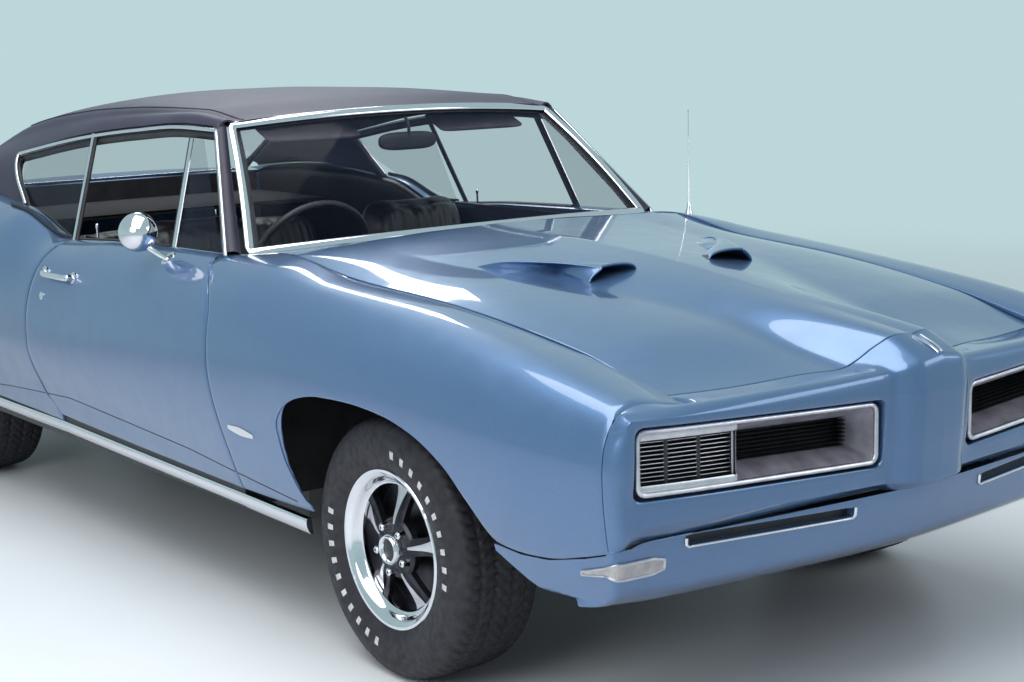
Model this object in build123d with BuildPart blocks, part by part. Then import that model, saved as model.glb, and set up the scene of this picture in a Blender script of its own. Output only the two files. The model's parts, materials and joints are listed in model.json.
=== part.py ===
from build123d import *
import math
import os

# Two-door hardtop muscle car with a soft front bumper, hidden headlamps and a vinyl roof.
# Millimetres. X runs across the car, Y along it with the front at -Y, Z up.
# The origin is on the ground, at the middle of the car's length and width.
# "left" is the car's own left, +X, and "right" is -X, where the driver sits.

# ---------------------------------------------------------------- driving sizes
LENGTH = 5098.0
WHEELBASE = 2845.0
FRONT_OVERHANG = 965.0
NOSE_Y = -LENGTH / 2
FRONT_AXLE_Y = NOSE_Y + FRONT_OVERHANG
REAR_AXLE_Y = FRONT_AXLE_Y + WHEELBASE

TRACK = 1524.0
TYRE_RADIUS = 325.0
TYRE_WIDTH = 245.0
RIM_SEAT_RADIUS = 178.0
RIM_LIP_RADIUS = 194.0
RIM_WIDTH = 204.0
RIM_WALL = 6.0
SPOKES = 5
SPOKE_WIDTH = 46.0
SPOKE_THICKNESS = 16.0
SPOKE_FACE = 30.0
HUB_RADIUS = 62.0
HUB_CAP_RADIUS = 38.0
HUB_CAP_LENGTH = 34.0
SPINDLE_RADIUS = 19.0
DRUM_RADIUS = 132.0
DRUM_WIDTH = 62.0
KINGPIN_X = 672.0

GAP = 8.0
SEAT_GAP = 0.4
RUNNING_GAP = 0.3
SKIN = 3.0
PANEL = 8.0
HINGE_GAP = 11.0
PIN_RADIUS = 5.0
PIN_HOLE_RADIUS = 5.3
HINGE_DROP = 19.5
ROOF_SKIN = 24.0
HOOD_SKIN = 24.0
GLASS = 6.0

# ---------------------------------------------------------------- body side sections
# Half sections of the body side, from the hood or glass edge down to the sill.
# y, edge x z, shoulder x z, upper side x z, widest x z, lower crease x z, sill x z
BODY = [
    (-2400, 645, 772, 785, 795, 850, 772, 885, 620, 862, 450, 845, 372),
    (-2050, 660, 846, 792, 852, 868, 812, 918, 640, 885, 440, 862, 362),
    (-1584, 677, 905, 800, 898, 878, 848, 934, 660, 892, 420, 870, 345),
    (-1210, 695, 928, 806, 926, 880, 872, 942, 668, 896, 405, 876, 340),
    (-900, 707, 972, 805, 950, 874, 898, 945, 664, 900, 400, 880, 338),
    (-640, 738, 952, 803, 950, 873, 890, 946, 655, 902, 414, 883, 340),
    (0, 735, 938, 800, 936, 869, 880, 948, 627, 905, 436, 886, 346),
    (420, 735, 916, 802, 916, 882, 866, 950, 602, 905, 436, 886, 352),
    (736, 745, 1012, 812, 985, 897, 905, 950, 596, 906, 436, 887, 355),
    (1261, 735, 1032, 812, 1000, 892, 930, 946, 630, 910, 440, 890, 360),
    (1900, 690, 985, 784, 980, 862, 920, 918, 650, 888, 450, 862, 380),
    (2420, 676, 934, 752, 934, 824, 900, 866, 680, 848, 486, 832, 430),
]


def between(rows, y):
    """Row of a section table at y, worked out in a straight line between its neighbours."""
    last = len(rows) - 2
    index = max(i for i in range(last + 1) if i == 0 or rows[i][0] <= y)
    low, high = rows[index], rows[index + 1]
    share = (y - low[0]) / (high[0] - low[0])
    return [a + share * (b - a) for a, b in zip(low, high)]


def pairs(values):
    """Points from a flat row of x and z values."""
    return list(zip(values[0::2], values[1::2]))


def side_chain(y):
    """Outer line of the body side at y, from its top edge down to the sill."""
    return pairs(between(BODY, y)[1:])


def stations(start, end, rows=None):
    """Section places from start to end, with every table row in between."""
    inner = [row[0] for row in (rows or BODY) if start < row[0] < end]
    return [start, *inner, end]


def skin_outline(y, thickness=SKIN):
    """Closed section of a body panel: its outer line and the same line moved inward."""
    outer = side_chain(y)
    drops = (1.0, 1.0, 0.5, 0.0, 0.0, 0.0)
    pulls = (0.0, 0.6, 0.9, 1.0, 1.0, 1.0)
    inner = [
        (x - pull * thickness, z - drop * thickness)
        for (x, z), pull, drop in zip(outer, pulls, drops)
    ]
    return outer + inner[::-1]


def section(y, points):
    """Face across the car at y, from x and z points."""
    with BuildSketch(Plane.XZ.offset(-y)) as face:
        with BuildLine():
            Polyline(*points, close=True)
        make_face()
    return face.sketch


def level(z, points):
    """Level face at height z, from x and y points."""
    with BuildSketch(Plane.XY.offset(z)) as face:
        with BuildLine():
            Polyline(*points, close=True)
        make_face()
    return face.sketch


def upright(x, points):
    """Face along the car at x, from y and z points."""
    with BuildSketch(Plane.YZ.offset(x)) as face:
        with BuildLine():
            Polyline(*points, close=True)
        make_face()
    return face.sketch


def loft_along(places, outline, mode=Mode.ADD):
    """Straight-sided loft along the car through outline(y) at each place."""
    loft([section(y, outline(y)) for y in places], ruled=True, mode=mode)


def side_cut(points, mode=Mode.SUBTRACT, low=300.0, high=1200.0, grow=0.0):
    """Cut along X, from low to high, with an outline of y and z points."""
    with BuildSketch(Plane.YZ.offset(low)) as face:
        with BuildLine():
            Polyline(*points, close=True)
        make_face()
        if grow:
            offset(amount=grow, kind=Kind.INTERSECTION)
    extrude(face.sketch, amount=high - low, mode=mode)


def block(x, y, z, mode=Mode.ADD):
    """Box between two corners, given as (low, high) for each axis."""
    spans = (x, y, z)
    middle = tuple((low + high) / 2 for low, high in spans)
    with Locations(middle):
        Box(*(high - low for low, high in spans), mode=mode)


def finish(part, name):
    """Label a piece and write it to its file."""
    part.label = name
    export_step(part, f"parts/{name}.step")


os.makedirs("parts", exist_ok=True)

# ---------------------------------------------------------------- door outline and arches
DOOR_FRONT = [(-630, 1010), (-654, 955), (-808, 806), (-845, 630), (-873, 528), (-893, 430), (-903, 372)]
DOOR_REAR = [(262, 372), (345, 440), (366, 560), (352, 920), (350, 1010)]
DOOR_OUTLINE = DOOR_FRONT + DOOR_REAR
DOOR_TO_GROUND = DOOR_FRONT + [(-903, 200), (262, 200)] + DOOR_REAR

FRONT_ARCH = dict(front=-408, rear=412, spring=520, top=684, front_foot=-500, rear_foot=372)
REAR_ARCH = dict(front=-398, rear=398, spring=470, top=640, front_foot=-372, rear_foot=420)
ARCH_FOOT_Z = 200.0
ARCH_CORNER = 0.72


def arch_cut(axle_y, arch):
    """Cut the wheel opening: two leaning sides joined by one flat and two round stretches."""
    rise = arch["top"] - arch["spring"]
    with BuildSketch(Plane.YZ.offset(560)) as face:
        with BuildLine():
            front_mid = (axle_y + arch["front"] * ARCH_CORNER, arch["spring"] + rise * 0.74)
            rear_mid = (axle_y + arch["rear"] * ARCH_CORNER, arch["spring"] + rise * 0.74)
            top = (axle_y, arch["top"])
            front_low = (axle_y + arch["front"], arch["spring"])
            rear_low = (axle_y + arch["rear"], arch["spring"])
            front_foot = (axle_y + arch["front_foot"], ARCH_FOOT_Z)
            rear_foot = (axle_y + arch["rear_foot"], ARCH_FOOT_Z)
            ThreePointArc(front_low, front_mid, top)
            ThreePointArc(top, rear_mid, rear_low)
            Polyline(rear_low, rear_foot, front_foot, front_low)
        make_face()
    extrude(face.sketch, amount=500, mode=Mode.SUBTRACT)


# ---------------------------------------------------------------- fenders, doors, quarters
FENDER_FRONT_Y = -2400.0
HOOD_REAR_Y = -921.5
COWL_FRONT_Y = HOOD_REAR_Y + HINGE_GAP
with BuildPart() as fenders:
    loft_along(stations(FENDER_FRONT_Y, -640), skin_outline)
    side_cut(DOOR_TO_GROUND, grow=GAP)
    arch_cut(FRONT_AXLE_Y, FRONT_ARCH)
    mirror(about=Plane.YZ)
finish(fenders.part, "fenders")

DOOR_INNER_X = 778.0


def door_outline(y):
    """Closed section of a whole door, from its outer skin to its inner panel."""
    outer = side_chain(y)
    sill_z = outer[-1][1]
    return outer + [(DOOR_INNER_X + 20, sill_z), (DOOR_INNER_X, 700)]


# The hinge pins stand inside the door's front edge, so that the edge turns in behind the fender.
DOOR_PIN = (905.0, -800.0)
DOOR_HINGES = [(520, 552), (690, 722)]
PIN_END = 12.0
NOTCH_ROOM = 6.0
NOTCH_X = (700, 919)
NOTCH_Y = (-930, DOOR_PIN[1] + 16)


def post(place, radius, low, high, mode=Mode.ADD):
    """Upright rod or hole at a place of x and y."""
    with BuildSketch(Plane.XY.offset(low)) as disc:
        with Locations(place):
            Circle(radius)
    extrude(disc.sketch, amount=high - low, mode=mode)


with BuildPart() as door_left:
    loft_along(stations(-920, 410), door_outline)
    side_cut(DOOR_OUTLINE, mode=Mode.INTERSECT)
    rear_bevel = level(300, [(700, 330), (930, 356), (930, 500), (700, 500)])
    extrude(rear_bevel, amount=800, mode=Mode.SUBTRACT)
    for low, high in DOOR_HINGES:
        block(NOTCH_X, NOTCH_Y, (low - NOTCH_ROOM, high + NOTCH_ROOM), Mode.SUBTRACT)
        post(DOOR_PIN, PIN_HOLE_RADIUS, low - PIN_END - 1, high + PIN_END + 1, Mode.SUBTRACT)
finish(door_left.part, "door_left")

HINGE_POST_X = (725.0, 748.0)
HINGE_POST_Y = (-905.4, -840.0)
with BuildPart() as door_hinges:
    for low, high in DOOR_HINGES:
        strap_end = HINGE_POST_X[1] + SEAT_GAP
        strap = [(DOOR_PIN[0], DOOR_PIN[1] - 9), (DOOR_PIN[0], DOOR_PIN[1] + 9)]
        strap += [(strap_end, -842), (strap_end, -862)]
        extrude(level(low, strap), amount=high - low)
        post(DOOR_PIN, 9, low, high)
        post(DOOR_PIN, PIN_RADIUS, low - PIN_END, high + PIN_END)
    mirror(about=Plane.YZ)
finish(door_hinges.part, "door_hinges")

with BuildPart() as door_right:
    mirror(door_left.part, about=Plane.YZ)
finish(door_right.part, "door_right")

QUARTER_END_Y = 2420.0
with BuildPart() as quarter_panels:
    loft_along(stations(230, QUARTER_END_Y), skin_outline)
    side_cut(DOOR_TO_GROUND, grow=GAP)
    arch_cut(REAR_AXLE_Y, REAR_ARCH)
    mirror(about=Plane.YZ)
finish(quarter_panels.part, "quarter_panels")

# ---------------------------------------------------------------- roof, pillars and sails
# y, rail x z, crown x z, middle x z
ROOF = [
    (-398, 626, 1296, 450, 1316, 0, 1324),
    (-200, 638, 1302, 460, 1344, 0, 1358),
    (100, 644, 1284, 460, 1362, 0, 1376),
    (450, 656, 1252, 460, 1346, 0, 1364),
    (800, 675, 1200, 470, 1312, 0, 1336),
    (1050, 690, 1158, 480, 1276, 0, 1302),
]
# y, rail x z, crown x z: the side wall between the quarter window and the rear glass
SAIL = [
    (420, 657, 1254, 602, 1290),
    (736, 672, 1212, 606, 1250),
    (1050, 690, 1158, 612, 1216),
    (1261, 704, 1118, 622, 1170),
    (1600, 704, 1048, 640, 1084),
    (1730, 698, 1015, 662, 1027),
]
SAIL_WALL = 30.0
QUARTER_WINDOW_CUT = [
    (150, 700), (150, 1260), (391, 1248), (905, 1172), (880, 1090), (736, 1021), (620, 966), (432, 905),
]


def roof_outline(y):
    """Closed section of the roof from rail to rail."""
    right = pairs(between(ROOF, y)[1:])
    outer = right[:2] + [right[2]] + [(-x, z) for x, z in right[1::-1]]
    return outer + [(x * 0.97, z - ROOF_SKIN) for x, z in outer[::-1]]


def sail_outline(y):
    """Closed section of the side wall behind the quarter window, against the quarter's edge."""
    edge_x, edge_z = side_chain(y)[0]
    foot_x = edge_x - SEAT_GAP
    (rail_x, rail_z), (crown_x, crown_z) = pairs(between(SAIL, y)[1:])
    return [
        (foot_x, edge_z - 2),
        (rail_x, rail_z + SEAT_GAP),
        (crown_x, crown_z + SEAT_GAP),
        (crown_x - SAIL_WALL * 0.5, crown_z - SAIL_WALL * 0.5),
        (rail_x - SAIL_WALL, rail_z - SAIL_WALL * 0.3),
        (foot_x - SAIL_WALL, edge_z - 22),
    ]


PILLAR_FOOT = [(742, -742), (790, -712), (796, -640), (752, -640)]
PILLAR_HEAD = [(585, -398), (626, -376), (640, -300), (592, -300)]
PILLAR_FOOT_Z = 958.3
PILLAR_HEAD_Z = 1292.0
with BuildPart() as roof:
    loft_along([row[0] for row in ROOF], roof_outline)
    loft_along([row[0] for row in SAIL], sail_outline)
    side_cut(QUARTER_WINDOW_CUT)
    loft([level(PILLAR_FOOT_Z, PILLAR_FOOT), level(PILLAR_HEAD_Z, PILLAR_HEAD)], ruled=True)
    mirror(about=Plane.YZ)
finish(roof.part, "roof")

# ---------------------------------------------------------------- hood and cowl
# y, edge x z, plateau x z, ridge x z, middle x z
HOOD = [
    (-2460, 645, 752, 130, 778, 52, 820, 0, 824),
    (-2311, 643, 776, 150, 808, 60, 850, 0, 854),
    (-2050, 653, 846, 200, 862, 80, 893, 0, 897),
    (-1584, 670, 905, 330, 926, 150, 948, 0, 954),
    (-1210, 688, 928, 420, 958, 220, 972, 0, 978),
    (-921.5, 699, 970, 450, 985, 260, 993, 0, 996),
]
HOOD_TIP_Y = -2448.0
HOOD_CORNER_Y = -2311.0


def hood_outline(y):
    """Closed section of the hood with its raised centre."""
    right = pairs(between(HOOD, y)[1:])
    outer = right + [(-x, z) for x, z in right[-2::-1]]
    return outer + [(x, z - HOOD_SKIN) for x, z in outer[::-1]]


GOOSENECK_DEPTH = 60.0
GOOSENECK_REACH = 72.0
GOOSENECK_BAR = 12.0
GOOSENECK_WIDTH = 14.0
BOSS_RADIUS = 7.5
HOOD_HINGE_X = 220.0
HOOD_PIN = (HOOD_REAR_Y + HINGE_GAP + 29.5, 996 - HINGE_DROP)


def gooseneck(x, pin, way, skin):
    """Hinge arm that drops from its pin, passes under the panel's edge and rises to its skin."""
    y, z = pin
    half = GOOSENECK_BAR / 2
    low = z - GOOSENECK_DEPTH
    reach = y + way * GOOSENECK_REACH
    span = (x - GOOSENECK_WIDTH / 2, x + GOOSENECK_WIDTH / 2)
    block(span, (y - BOSS_RADIUS, y + BOSS_RADIUS), (low, z))
    with BuildSketch(Plane.YZ.offset(span[0])) as boss:
        with Locations((y, z)):
            Circle(BOSS_RADIUS)
    extrude(boss.sketch, amount=GOOSENECK_WIDTH)
    block(span, tuple(sorted((y, reach + way * half))), (low - half, low + half))
    block(span, (reach - half, reach + half), (low - half, z + HINGE_DROP - skin + 1))
    with BuildSketch(Plane.YZ.offset(span[0] - 1)) as hole:
        with Locations((y, z)):
            Circle(PIN_HOLE_RADIUS)
    extrude(hole.sketch, amount=GOOSENECK_WIDTH + 2, mode=Mode.SUBTRACT)


def hinge_pin(x, pin, top):
    """Pin through a gooseneck and the lug that carries it down from the fixed panel."""
    y, z = pin
    low = x - GOOSENECK_WIDTH / 2
    with BuildSketch(Plane.YZ.offset(low - 2)) as rod:
        with Locations((y, z)):
            Circle(PIN_RADIUS)
    extrude(rod.sketch, amount=GOOSENECK_WIDTH + 6)
    block((low - 7, low - 1.5), (y - 8, y + 8), (z - 8, top))


SCOOP_X = 198.0
SCOOP_MOUTH_Y = -1690.0
with BuildPart() as hood:
    loft_along([row[0] for row in HOOD], hood_outline)
    tip = [(0, HOOD_TIP_Y), (150, HOOD_TIP_Y + 34), (720, HOOD_CORNER_Y), (720, -2600), (-720, -2600)]
    tip += [(-720, HOOD_CORNER_Y), (-150, HOOD_TIP_Y + 34)]
    with BuildSketch(Plane.XY.offset(600)) as nose_cut:
        with BuildLine():
            Polyline(*tip, close=True)
        make_face()
    extrude(nose_cut.sketch, amount=600, mode=Mode.SUBTRACT)
    for centre_x in (-SCOOP_X, SCOOP_X):
        mouth = [(-75, 920), (75, 920), (62, 958), (-62, 958)]
        heel = [(-95, 935), (95, 935), (70, 957), (-70, 957)]
        loft(
            [
                section(SCOOP_MOUTH_Y, [(centre_x + x, z) for x, z in mouth]),
                section(SCOOP_MOUTH_Y + 200, [(centre_x + x, z) for x, z in heel]),
            ],
            ruled=True,
        )
        mouth = (centre_x - 48, centre_x + 48)
        block(mouth, (SCOOP_MOUTH_Y - 5, SCOOP_MOUTH_Y + 90), (932, 951), Mode.SUBTRACT)
    for side in (-1, 1):
        gooseneck(side * HOOD_HINGE_X, HOOD_PIN, -1, HOOD_SKIN)
finish(hood.part, "hood")

COWL_REAR_Y = -782.0
COWL_FRONT_LINE = [(698, 968), (450, 985), (260, 993), (0, 996)]
COWL_REAR_LINE = [(714, 952), (450, 966), (260, 972), (0, 974)]


def mirrored_skin(points, thickness):
    """Closed section across the car: a right-hand line, its mirror and both moved down."""
    outer = points + [(-x, z) for x, z in points[-2::-1]]
    return outer + [(x, z - thickness) for x, z in outer[::-1]]


with BuildPart() as cowl:
    cowl_faces = [
        section(COWL_FRONT_Y, mirrored_skin(COWL_FRONT_LINE, PANEL)),
        section(COWL_REAR_Y, mirrored_skin(COWL_REAR_LINE, PANEL)),
    ]
    loft(cowl_faces, ruled=True)
    block((-680, 680), (COWL_FRONT_Y, COWL_FRONT_Y + 10), (896 + SEAT_GAP, 964))
    for side in (-1, 1):
        x = side * HOOD_HINGE_X
        block((x - 16, x + 16), (COWL_FRONT_Y - 1, COWL_FRONT_Y + 11), (890, 978), Mode.SUBTRACT)
        block((x - 9, x + 9), (HOOD_PIN[0] - 9, HOOD_PIN[0] + 9), (950, HOOD_PIN[1] + 8), Mode.SUBTRACT)
        hinge_pin(x, HOOD_PIN, 984)
finish(cowl.part, "cowl")

# ---------------------------------------------------------------- nose, valance, grilles, front lamps
# x, rear y, top front y, top z, middle front y, low front y, low z
NOSE = [
    (0, -2457, -2549, 806, -2540, -2522, 492),
    (78, -2440, -2546, 800, -2536, -2518, 492),
    (128, -2429, -2506, 786, -2498, -2480, 492),
    (700, -2408, -2470, 782, -2463, -2446, 492),
    (846, -2408, -2452, 777, -2447, -2430, 492),
    (880, -2408, -2424, 768, -2424, -2418, 492),
]
NOSE_MIDDLE_Z = 654.0
GRILLE_X = (132, 832)
GRILLE_Z = (584, 738)
HOOD_SIDE_X = 638.0


def nose_outline(row):
    """Closed lengthwise section of the soft bumper from one row of its table."""
    x, rear, top_y, top_z, middle_y, low_y, low_z = row
    return [(rear, top_z + 8), (top_y, top_z), (middle_y, NOSE_MIDDLE_Z), (low_y, low_z), (rear, low_z)]


with BuildPart() as nose_bumper:
    loft([upright(row[0], nose_outline(row)) for row in NOSE], ruled=True)
    header = [(128, -2429), (150, -2423), (HOOD_SIDE_X, -2335), (HOOD_SIDE_X, -2414), (128, -2434)]
    loft([level(752, header), level(780, header)], ruled=True)
    block(GRILLE_X, (-2600, -2300), GRILLE_Z, Mode.SUBTRACT)
    mirror(about=Plane.YZ)
finish(nose_bumper.part, "nose_bumper")

# x, plate front y at the inner and outer end, for the recessed inner half and the lamp door
GRILLE_HALVES = [
    (132.5, 540, -2452, -2428),
    (541, 831.5, -2450, -2432),
]
GRILLE_PLATE = 12.0
LOUVRES = 8
LOUVRE_DEPTH = 10.0
with BuildPart() as grilles:
    for inner_x, outer_x, inner_y, outer_y in GRILLE_HALVES:
        plate = [
            (inner_x, inner_y),
            (outer_x, outer_y),
            (outer_x, outer_y + GRILLE_PLATE),
            (inner_x, inner_y + GRILLE_PLATE),
        ]
        low, high = GRILLE_Z[0] + 0.5, GRILLE_Z[1] - 0.5
        loft([level(low, plate), level(high, plate)], ruled=True)
        pitch = (high - low - 40) / LOUVRES
        for index in range(LOUVRES + 1):
            z = low + 20 + index * pitch
            bar = [(x, y - LOUVRE_DEPTH if i < 2 else y - GRILLE_PLATE) for i, (x, y) in enumerate(plate)]
            bar[0], bar[1] = (inner_x + 14, bar[0][1]), (outer_x - 14, bar[1][1])
            bar[2], bar[3] = (outer_x - 14, bar[2][1] + 2), (inner_x + 14, bar[3][1] + 2)
            loft([level(z - 3, bar), level(z + 3, bar)], ruled=True)
    block((536, 546), (-2440, -2420), (GRILLE_Z[0] + 0.5, GRILLE_Z[1] - 0.5))
    mirror(about=Plane.YZ)
finish(grilles.part, "grilles")

# x, top front y, middle front y z, bottom y z
VALANCE = [
    (0, -2500, -2476, 404, -2300, 318),
    (400, -2480, -2462, 408, -2296, 324),
    (700, -2452, -2434, 414, -2290, 336),
    (826, -2420, -2410, 424, -2300, 352),
]
VALANCE_TOP_Z = 492.0 - SEAT_GAP
VALANCE_WALL = 14.0
LAMP_X = (703, 826)
LAMP_Z = (428, 458)
SLOT_X = (204, 655)
SLOT_Z = (424, 474)


def valance_outline(row):
    """Closed lengthwise section of the panel under the bumper."""
    x, top_y, middle_y, middle_z, bottom_y, bottom_z = row
    outer = [(top_y, VALANCE_TOP_Z), (middle_y, middle_z), (bottom_y, bottom_z)]
    inner = [(y + VALANCE_WALL, z) for y, z in outer[:2]] + [(bottom_y, bottom_z + VALANCE_WALL)]
    return outer + inner[::-1]


with BuildPart() as front_valance:
    loft([upright(row[0], valance_outline(row)) for row in VALANCE], ruled=True)
    block((LAMP_X[0], LAMP_X[1] + 20), (-2600, -2380), LAMP_Z, Mode.SUBTRACT)
    block(SLOT_X, (-2600, -2380), SLOT_Z, Mode.SUBTRACT)
    mirror(about=Plane.YZ)
finish(front_valance.part, "front_valance")

with BuildPart() as turn_lamps:
    lamp = [(LAMP_X[0] + SEAT_GAP, -2448), (LAMP_X[1] - 4, -2424)]
    lamp += [(LAMP_X[1] - 4, -2408), (LAMP_X[0] + SEAT_GAP, -2408)]
    loft([level(LAMP_Z[0] + 0.4, lamp), level(LAMP_Z[1] - 0.4, lamp)], ruled=True)
    mirror(about=Plane.YZ)
finish(turn_lamps.part, "turn_lamps")

# ---------------------------------------------------------------- tail
TAIL_PLATE_Y = QUARTER_END_Y + SEAT_GAP
LID_FRONT_Y = 1803.5
TULIP_REAR_Y = LID_FRONT_Y - HINGE_GAP
LID_PIN = (TULIP_REAR_Y - 29.5, 985.0 - HINGE_DROP)
LID_HINGE_X = 520.0
LID_REAR_Y = 2446.0
LID_SKIN = 24.0
LIP_LOW_Z = 838.0


def lid_outline(y):
    """Closed section of the deck lid between the quarter panels' edges."""
    edge_x, edge_z = side_chain(min(y, QUARTER_END_Y))[0]
    line = [(edge_x - GAP, edge_z), (edge_x * 0.55, edge_z + 12), (0, edge_z + 16)]
    return mirrored_skin(line, LID_SKIN)


with BuildPart() as deck_lid:
    loft_along([LID_FRONT_Y, 1900, 2420, LID_REAR_Y], lid_outline)
    lip = section(2428, [(-660, LIP_LOW_Z), (660, LIP_LOW_Z), (662, 925), (-662, 925)])
    extrude(lip, amount=-(LID_REAR_Y - 2428))
    for side in (-1, 1):
        gooseneck(side * LID_HINGE_X, LID_PIN, 1, LID_SKIN - 10)
finish(deck_lid.part, "deck_lid")

TULIP_X = SAIL_WALL + 3.2
TULIP_FRONT_Z = 990.0
TULIP_REAR_Z = 985.0
SHELF_Z = 905.0
with BuildPart() as rear_shelf:
    faces = []
    for y, top in ((1640, TULIP_FRONT_Z), (TULIP_REAR_Y, TULIP_REAR_Z)):
        half = side_chain(y)[0][0] - TULIP_X
        faces.append(section(y, [(-half, top), (half, top), (half, top - PANEL), (-half, top - PANEL)]))
    loft(faces, ruled=True)
    faces = []
    for y in (SAIL[-1][0] + SEAT_GAP, TULIP_REAR_Y):
        half = side_chain(y)[0][0] - SEAT_GAP
        faces.append(section(y, [(-half, 986), (half, 986), (half, 986 - PANEL), (-half, 986 - PANEL)]))
    loft(faces, ruled=True)
    for side in (-1, 1):
        hinge_pin(side * LID_HINGE_X, LID_PIN, TULIP_REAR_Z - 4)
    block((-640, 640), (1640, 1652), (SHELF_Z - PANEL, 984))
    block((-640, 640), (1090, 1652), (SHELF_Z - PANEL, SHELF_Z))
finish(rear_shelf.part, "rear_shelf")

with BuildPart() as tail_panel:
    tail = [(842, 470), (861, 640), (863, 688), (836, 830)]
    tail += [(-x, z) for x, z in tail[::-1]]
    extrude(section(TAIL_PLATE_Y, tail), amount=-12)
finish(tail_panel.part, "tail_panel")

# x, front y, rear y at the top and bottom, bottom z, top z
REAR_BUMPER = [
    (0, 2432.8, 2536, 2549, 486, 640),
    (560, 2432.8, 2530, 2543, 490, 640),
    (800, 2432.8, 2498, 2508, 500, 640),
    (866, 2432.8, 2458, 2462, 508, 636),
]
TAIL_LAMP_X = (520, 812)
TAIL_LAMP_Z = (548, 606)
with BuildPart() as rear_bumper:
    faces = []
    for x, front, top_y, low_y, low_z, top_z in REAR_BUMPER:
        middle_z = (low_z + top_z) / 2
        rear = [(low_y - 14, low_z), (low_y, middle_z), (top_y, top_z)]
        faces.append(upright(x, [(front, low_z)] + rear + [(front, top_z)]))
    loft(faces, ruled=True)
    block(TAIL_LAMP_X, (2465, 2600), TAIL_LAMP_Z, Mode.SUBTRACT)
    mirror(about=Plane.YZ)
finish(rear_bumper.part, "rear_bumper")

with BuildPart() as tail_lamps:
    low_x, high_x = TAIL_LAMP_X[0] + SEAT_GAP, TAIL_LAMP_X[1] - SEAT_GAP
    lamp = [(low_x, 2466), (high_x, 2466), (high_x, 2490), (low_x, 2530)]
    loft([level(TAIL_LAMP_Z[0] + SEAT_GAP, lamp), level(TAIL_LAMP_Z[1] - SEAT_GAP, lamp)], ruled=True)
    mirror(about=Plane.YZ)
finish(tail_lamps.part, "tail_lamps")

PLATE_SIZE = (305.0, 152.0, 3.0)
PLATE_Z = 392.0
PLATE_Y = 2470.0
PLATE_HOLES = (177.8, 120.65)
PLATE_HOLE_RADIUS = 3.5
with BuildPart() as plate_bracket:
    with BuildSketch(Plane.XZ.offset(-PLATE_Y)) as plate_face:
        with Locations((0, PLATE_Z)):
            Rectangle(PLATE_SIZE[0], PLATE_SIZE[1])
        with Locations((0, PLATE_Z)):
            with GridLocations(PLATE_HOLES[0], PLATE_HOLES[1], 2, 2):
                Circle(PLATE_HOLE_RADIUS, mode=Mode.SUBTRACT)
    extrude(plate_face.sketch, amount=-PLATE_SIZE[2])
    block((-120, 120), (PLATE_Y - 30, PLATE_Y + 1), (PLATE_Z + PLATE_SIZE[1] / 2 - 4, 486 - SEAT_GAP))
finish(plate_bracket.part, "plate_bracket")

# ---------------------------------------------------------------- glass
WINDSHIELD_FOOT_Z = 976.8
WINDSHIELD_HEAD_Z = 1291.0
GLASS_RUN = 12.0


def crescent(z, half, side_y, middle_y):
    """Level strip that bows from side_y at its ends to middle_y in the middle."""
    front = [(-half, side_y), (-half / 2, (side_y + 3 * middle_y) / 4), (0, middle_y)]
    front += [(half / 2, (side_y + 3 * middle_y) / 4), (half, side_y)]
    return level(z, front + [(x, y + GLASS_RUN) for x, y in front[::-1]])


with BuildPart() as windshield:
    foot = crescent(WINDSHIELD_FOOT_Z, 722, -724, -796)
    head = crescent(WINDSHIELD_HEAD_Z, 574, -410.4, -440)
    loft([foot, head], ruled=True)
finish(windshield.part, "windshield")

with BuildPart() as rear_glass:
    foot = crescent(TULIP_FRONT_Z + SEAT_GAP, 575, 1650, 1672)
    head = crescent(1268, 545, 1090, 1070)
    loft([foot, head], ruled=True)
finish(rear_glass.part, "rear_glass")

GLASS_FOOT_X = 775.0
GLASS_FOOT_Z = 930.0
GLASS_LEAN = math.atan2(120.0, 325.0)
SIDE_GLASS_PLANE = Plane(
    origin=(GLASS_FOOT_X, 0, GLASS_FOOT_Z),
    x_dir=(0, 1, 0),
    z_dir=(math.cos(GLASS_LEAN), 0, math.sin(GLASS_LEAN)),
)


def side_glass(points):
    """Leaning pane from points of y and z."""
    with BuildSketch(SIDE_GLASS_PLANE) as face:
        with BuildLine():
            Polyline(*[(y, (z - GLASS_FOOT_Z) / math.cos(GLASS_LEAN)) for y, z in points], close=True)
        make_face()
    extrude(face.sketch, amount=-GLASS)


QUARTER_PANE = [(370, 919.2), (420, 916.6), (684, 997.2), (736, 1021.6), (879.4, 1090.6), (904.2, 1171.6)]
QUARTER_PANE += [(392, 1247.3)]
with BuildPart() as quarter_glass:
    side_glass([(340, 890), (930, 1000), (930, 1190), (340, 1270)])
    side_cut(QUARTER_PANE, mode=Mode.INTERSECT)
    mirror(about=Plane.YZ)
finish(quarter_glass.part, "quarter_glass")

VENT_PANE = [(-612, 953.5), (-366, 953.5), (-296, 1238), (-330, 1238)]
with BuildPart() as vent_left:
    side_glass(VENT_PANE)
finish(vent_left.part, "vent_left")
with BuildPart() as vent_right:
    mirror(vent_left.part, about=Plane.YZ)
finish(vent_right.part, "vent_right")

# ---------------------------------------------------------------- wheels and tyres
WHEEL_X = TRACK / 2
CORNERS = {
    "front_left": (1, FRONT_AXLE_Y),
    "front_right": (-1, FRONT_AXLE_Y),
    "rear_left": (1, REAR_AXLE_Y),
    "rear_right": (-1, REAR_AXLE_Y),
}


def turned(side, axle_y, profile, mode=Mode.ADD):
    """Solid turned about the axle from points of distance from the wheel's middle and radius."""
    with BuildSketch(Plane.XY.offset(TYRE_RADIUS)) as half:
        with BuildLine():
            Polyline(*[(side * (WHEEL_X + out), axle_y + radius) for out, radius in profile], close=True)
        make_face()
    revolve(half.sketch, axis=Axis((0, axle_y, TYRE_RADIUS), (1, 0, 0)), mode=mode)


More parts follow.
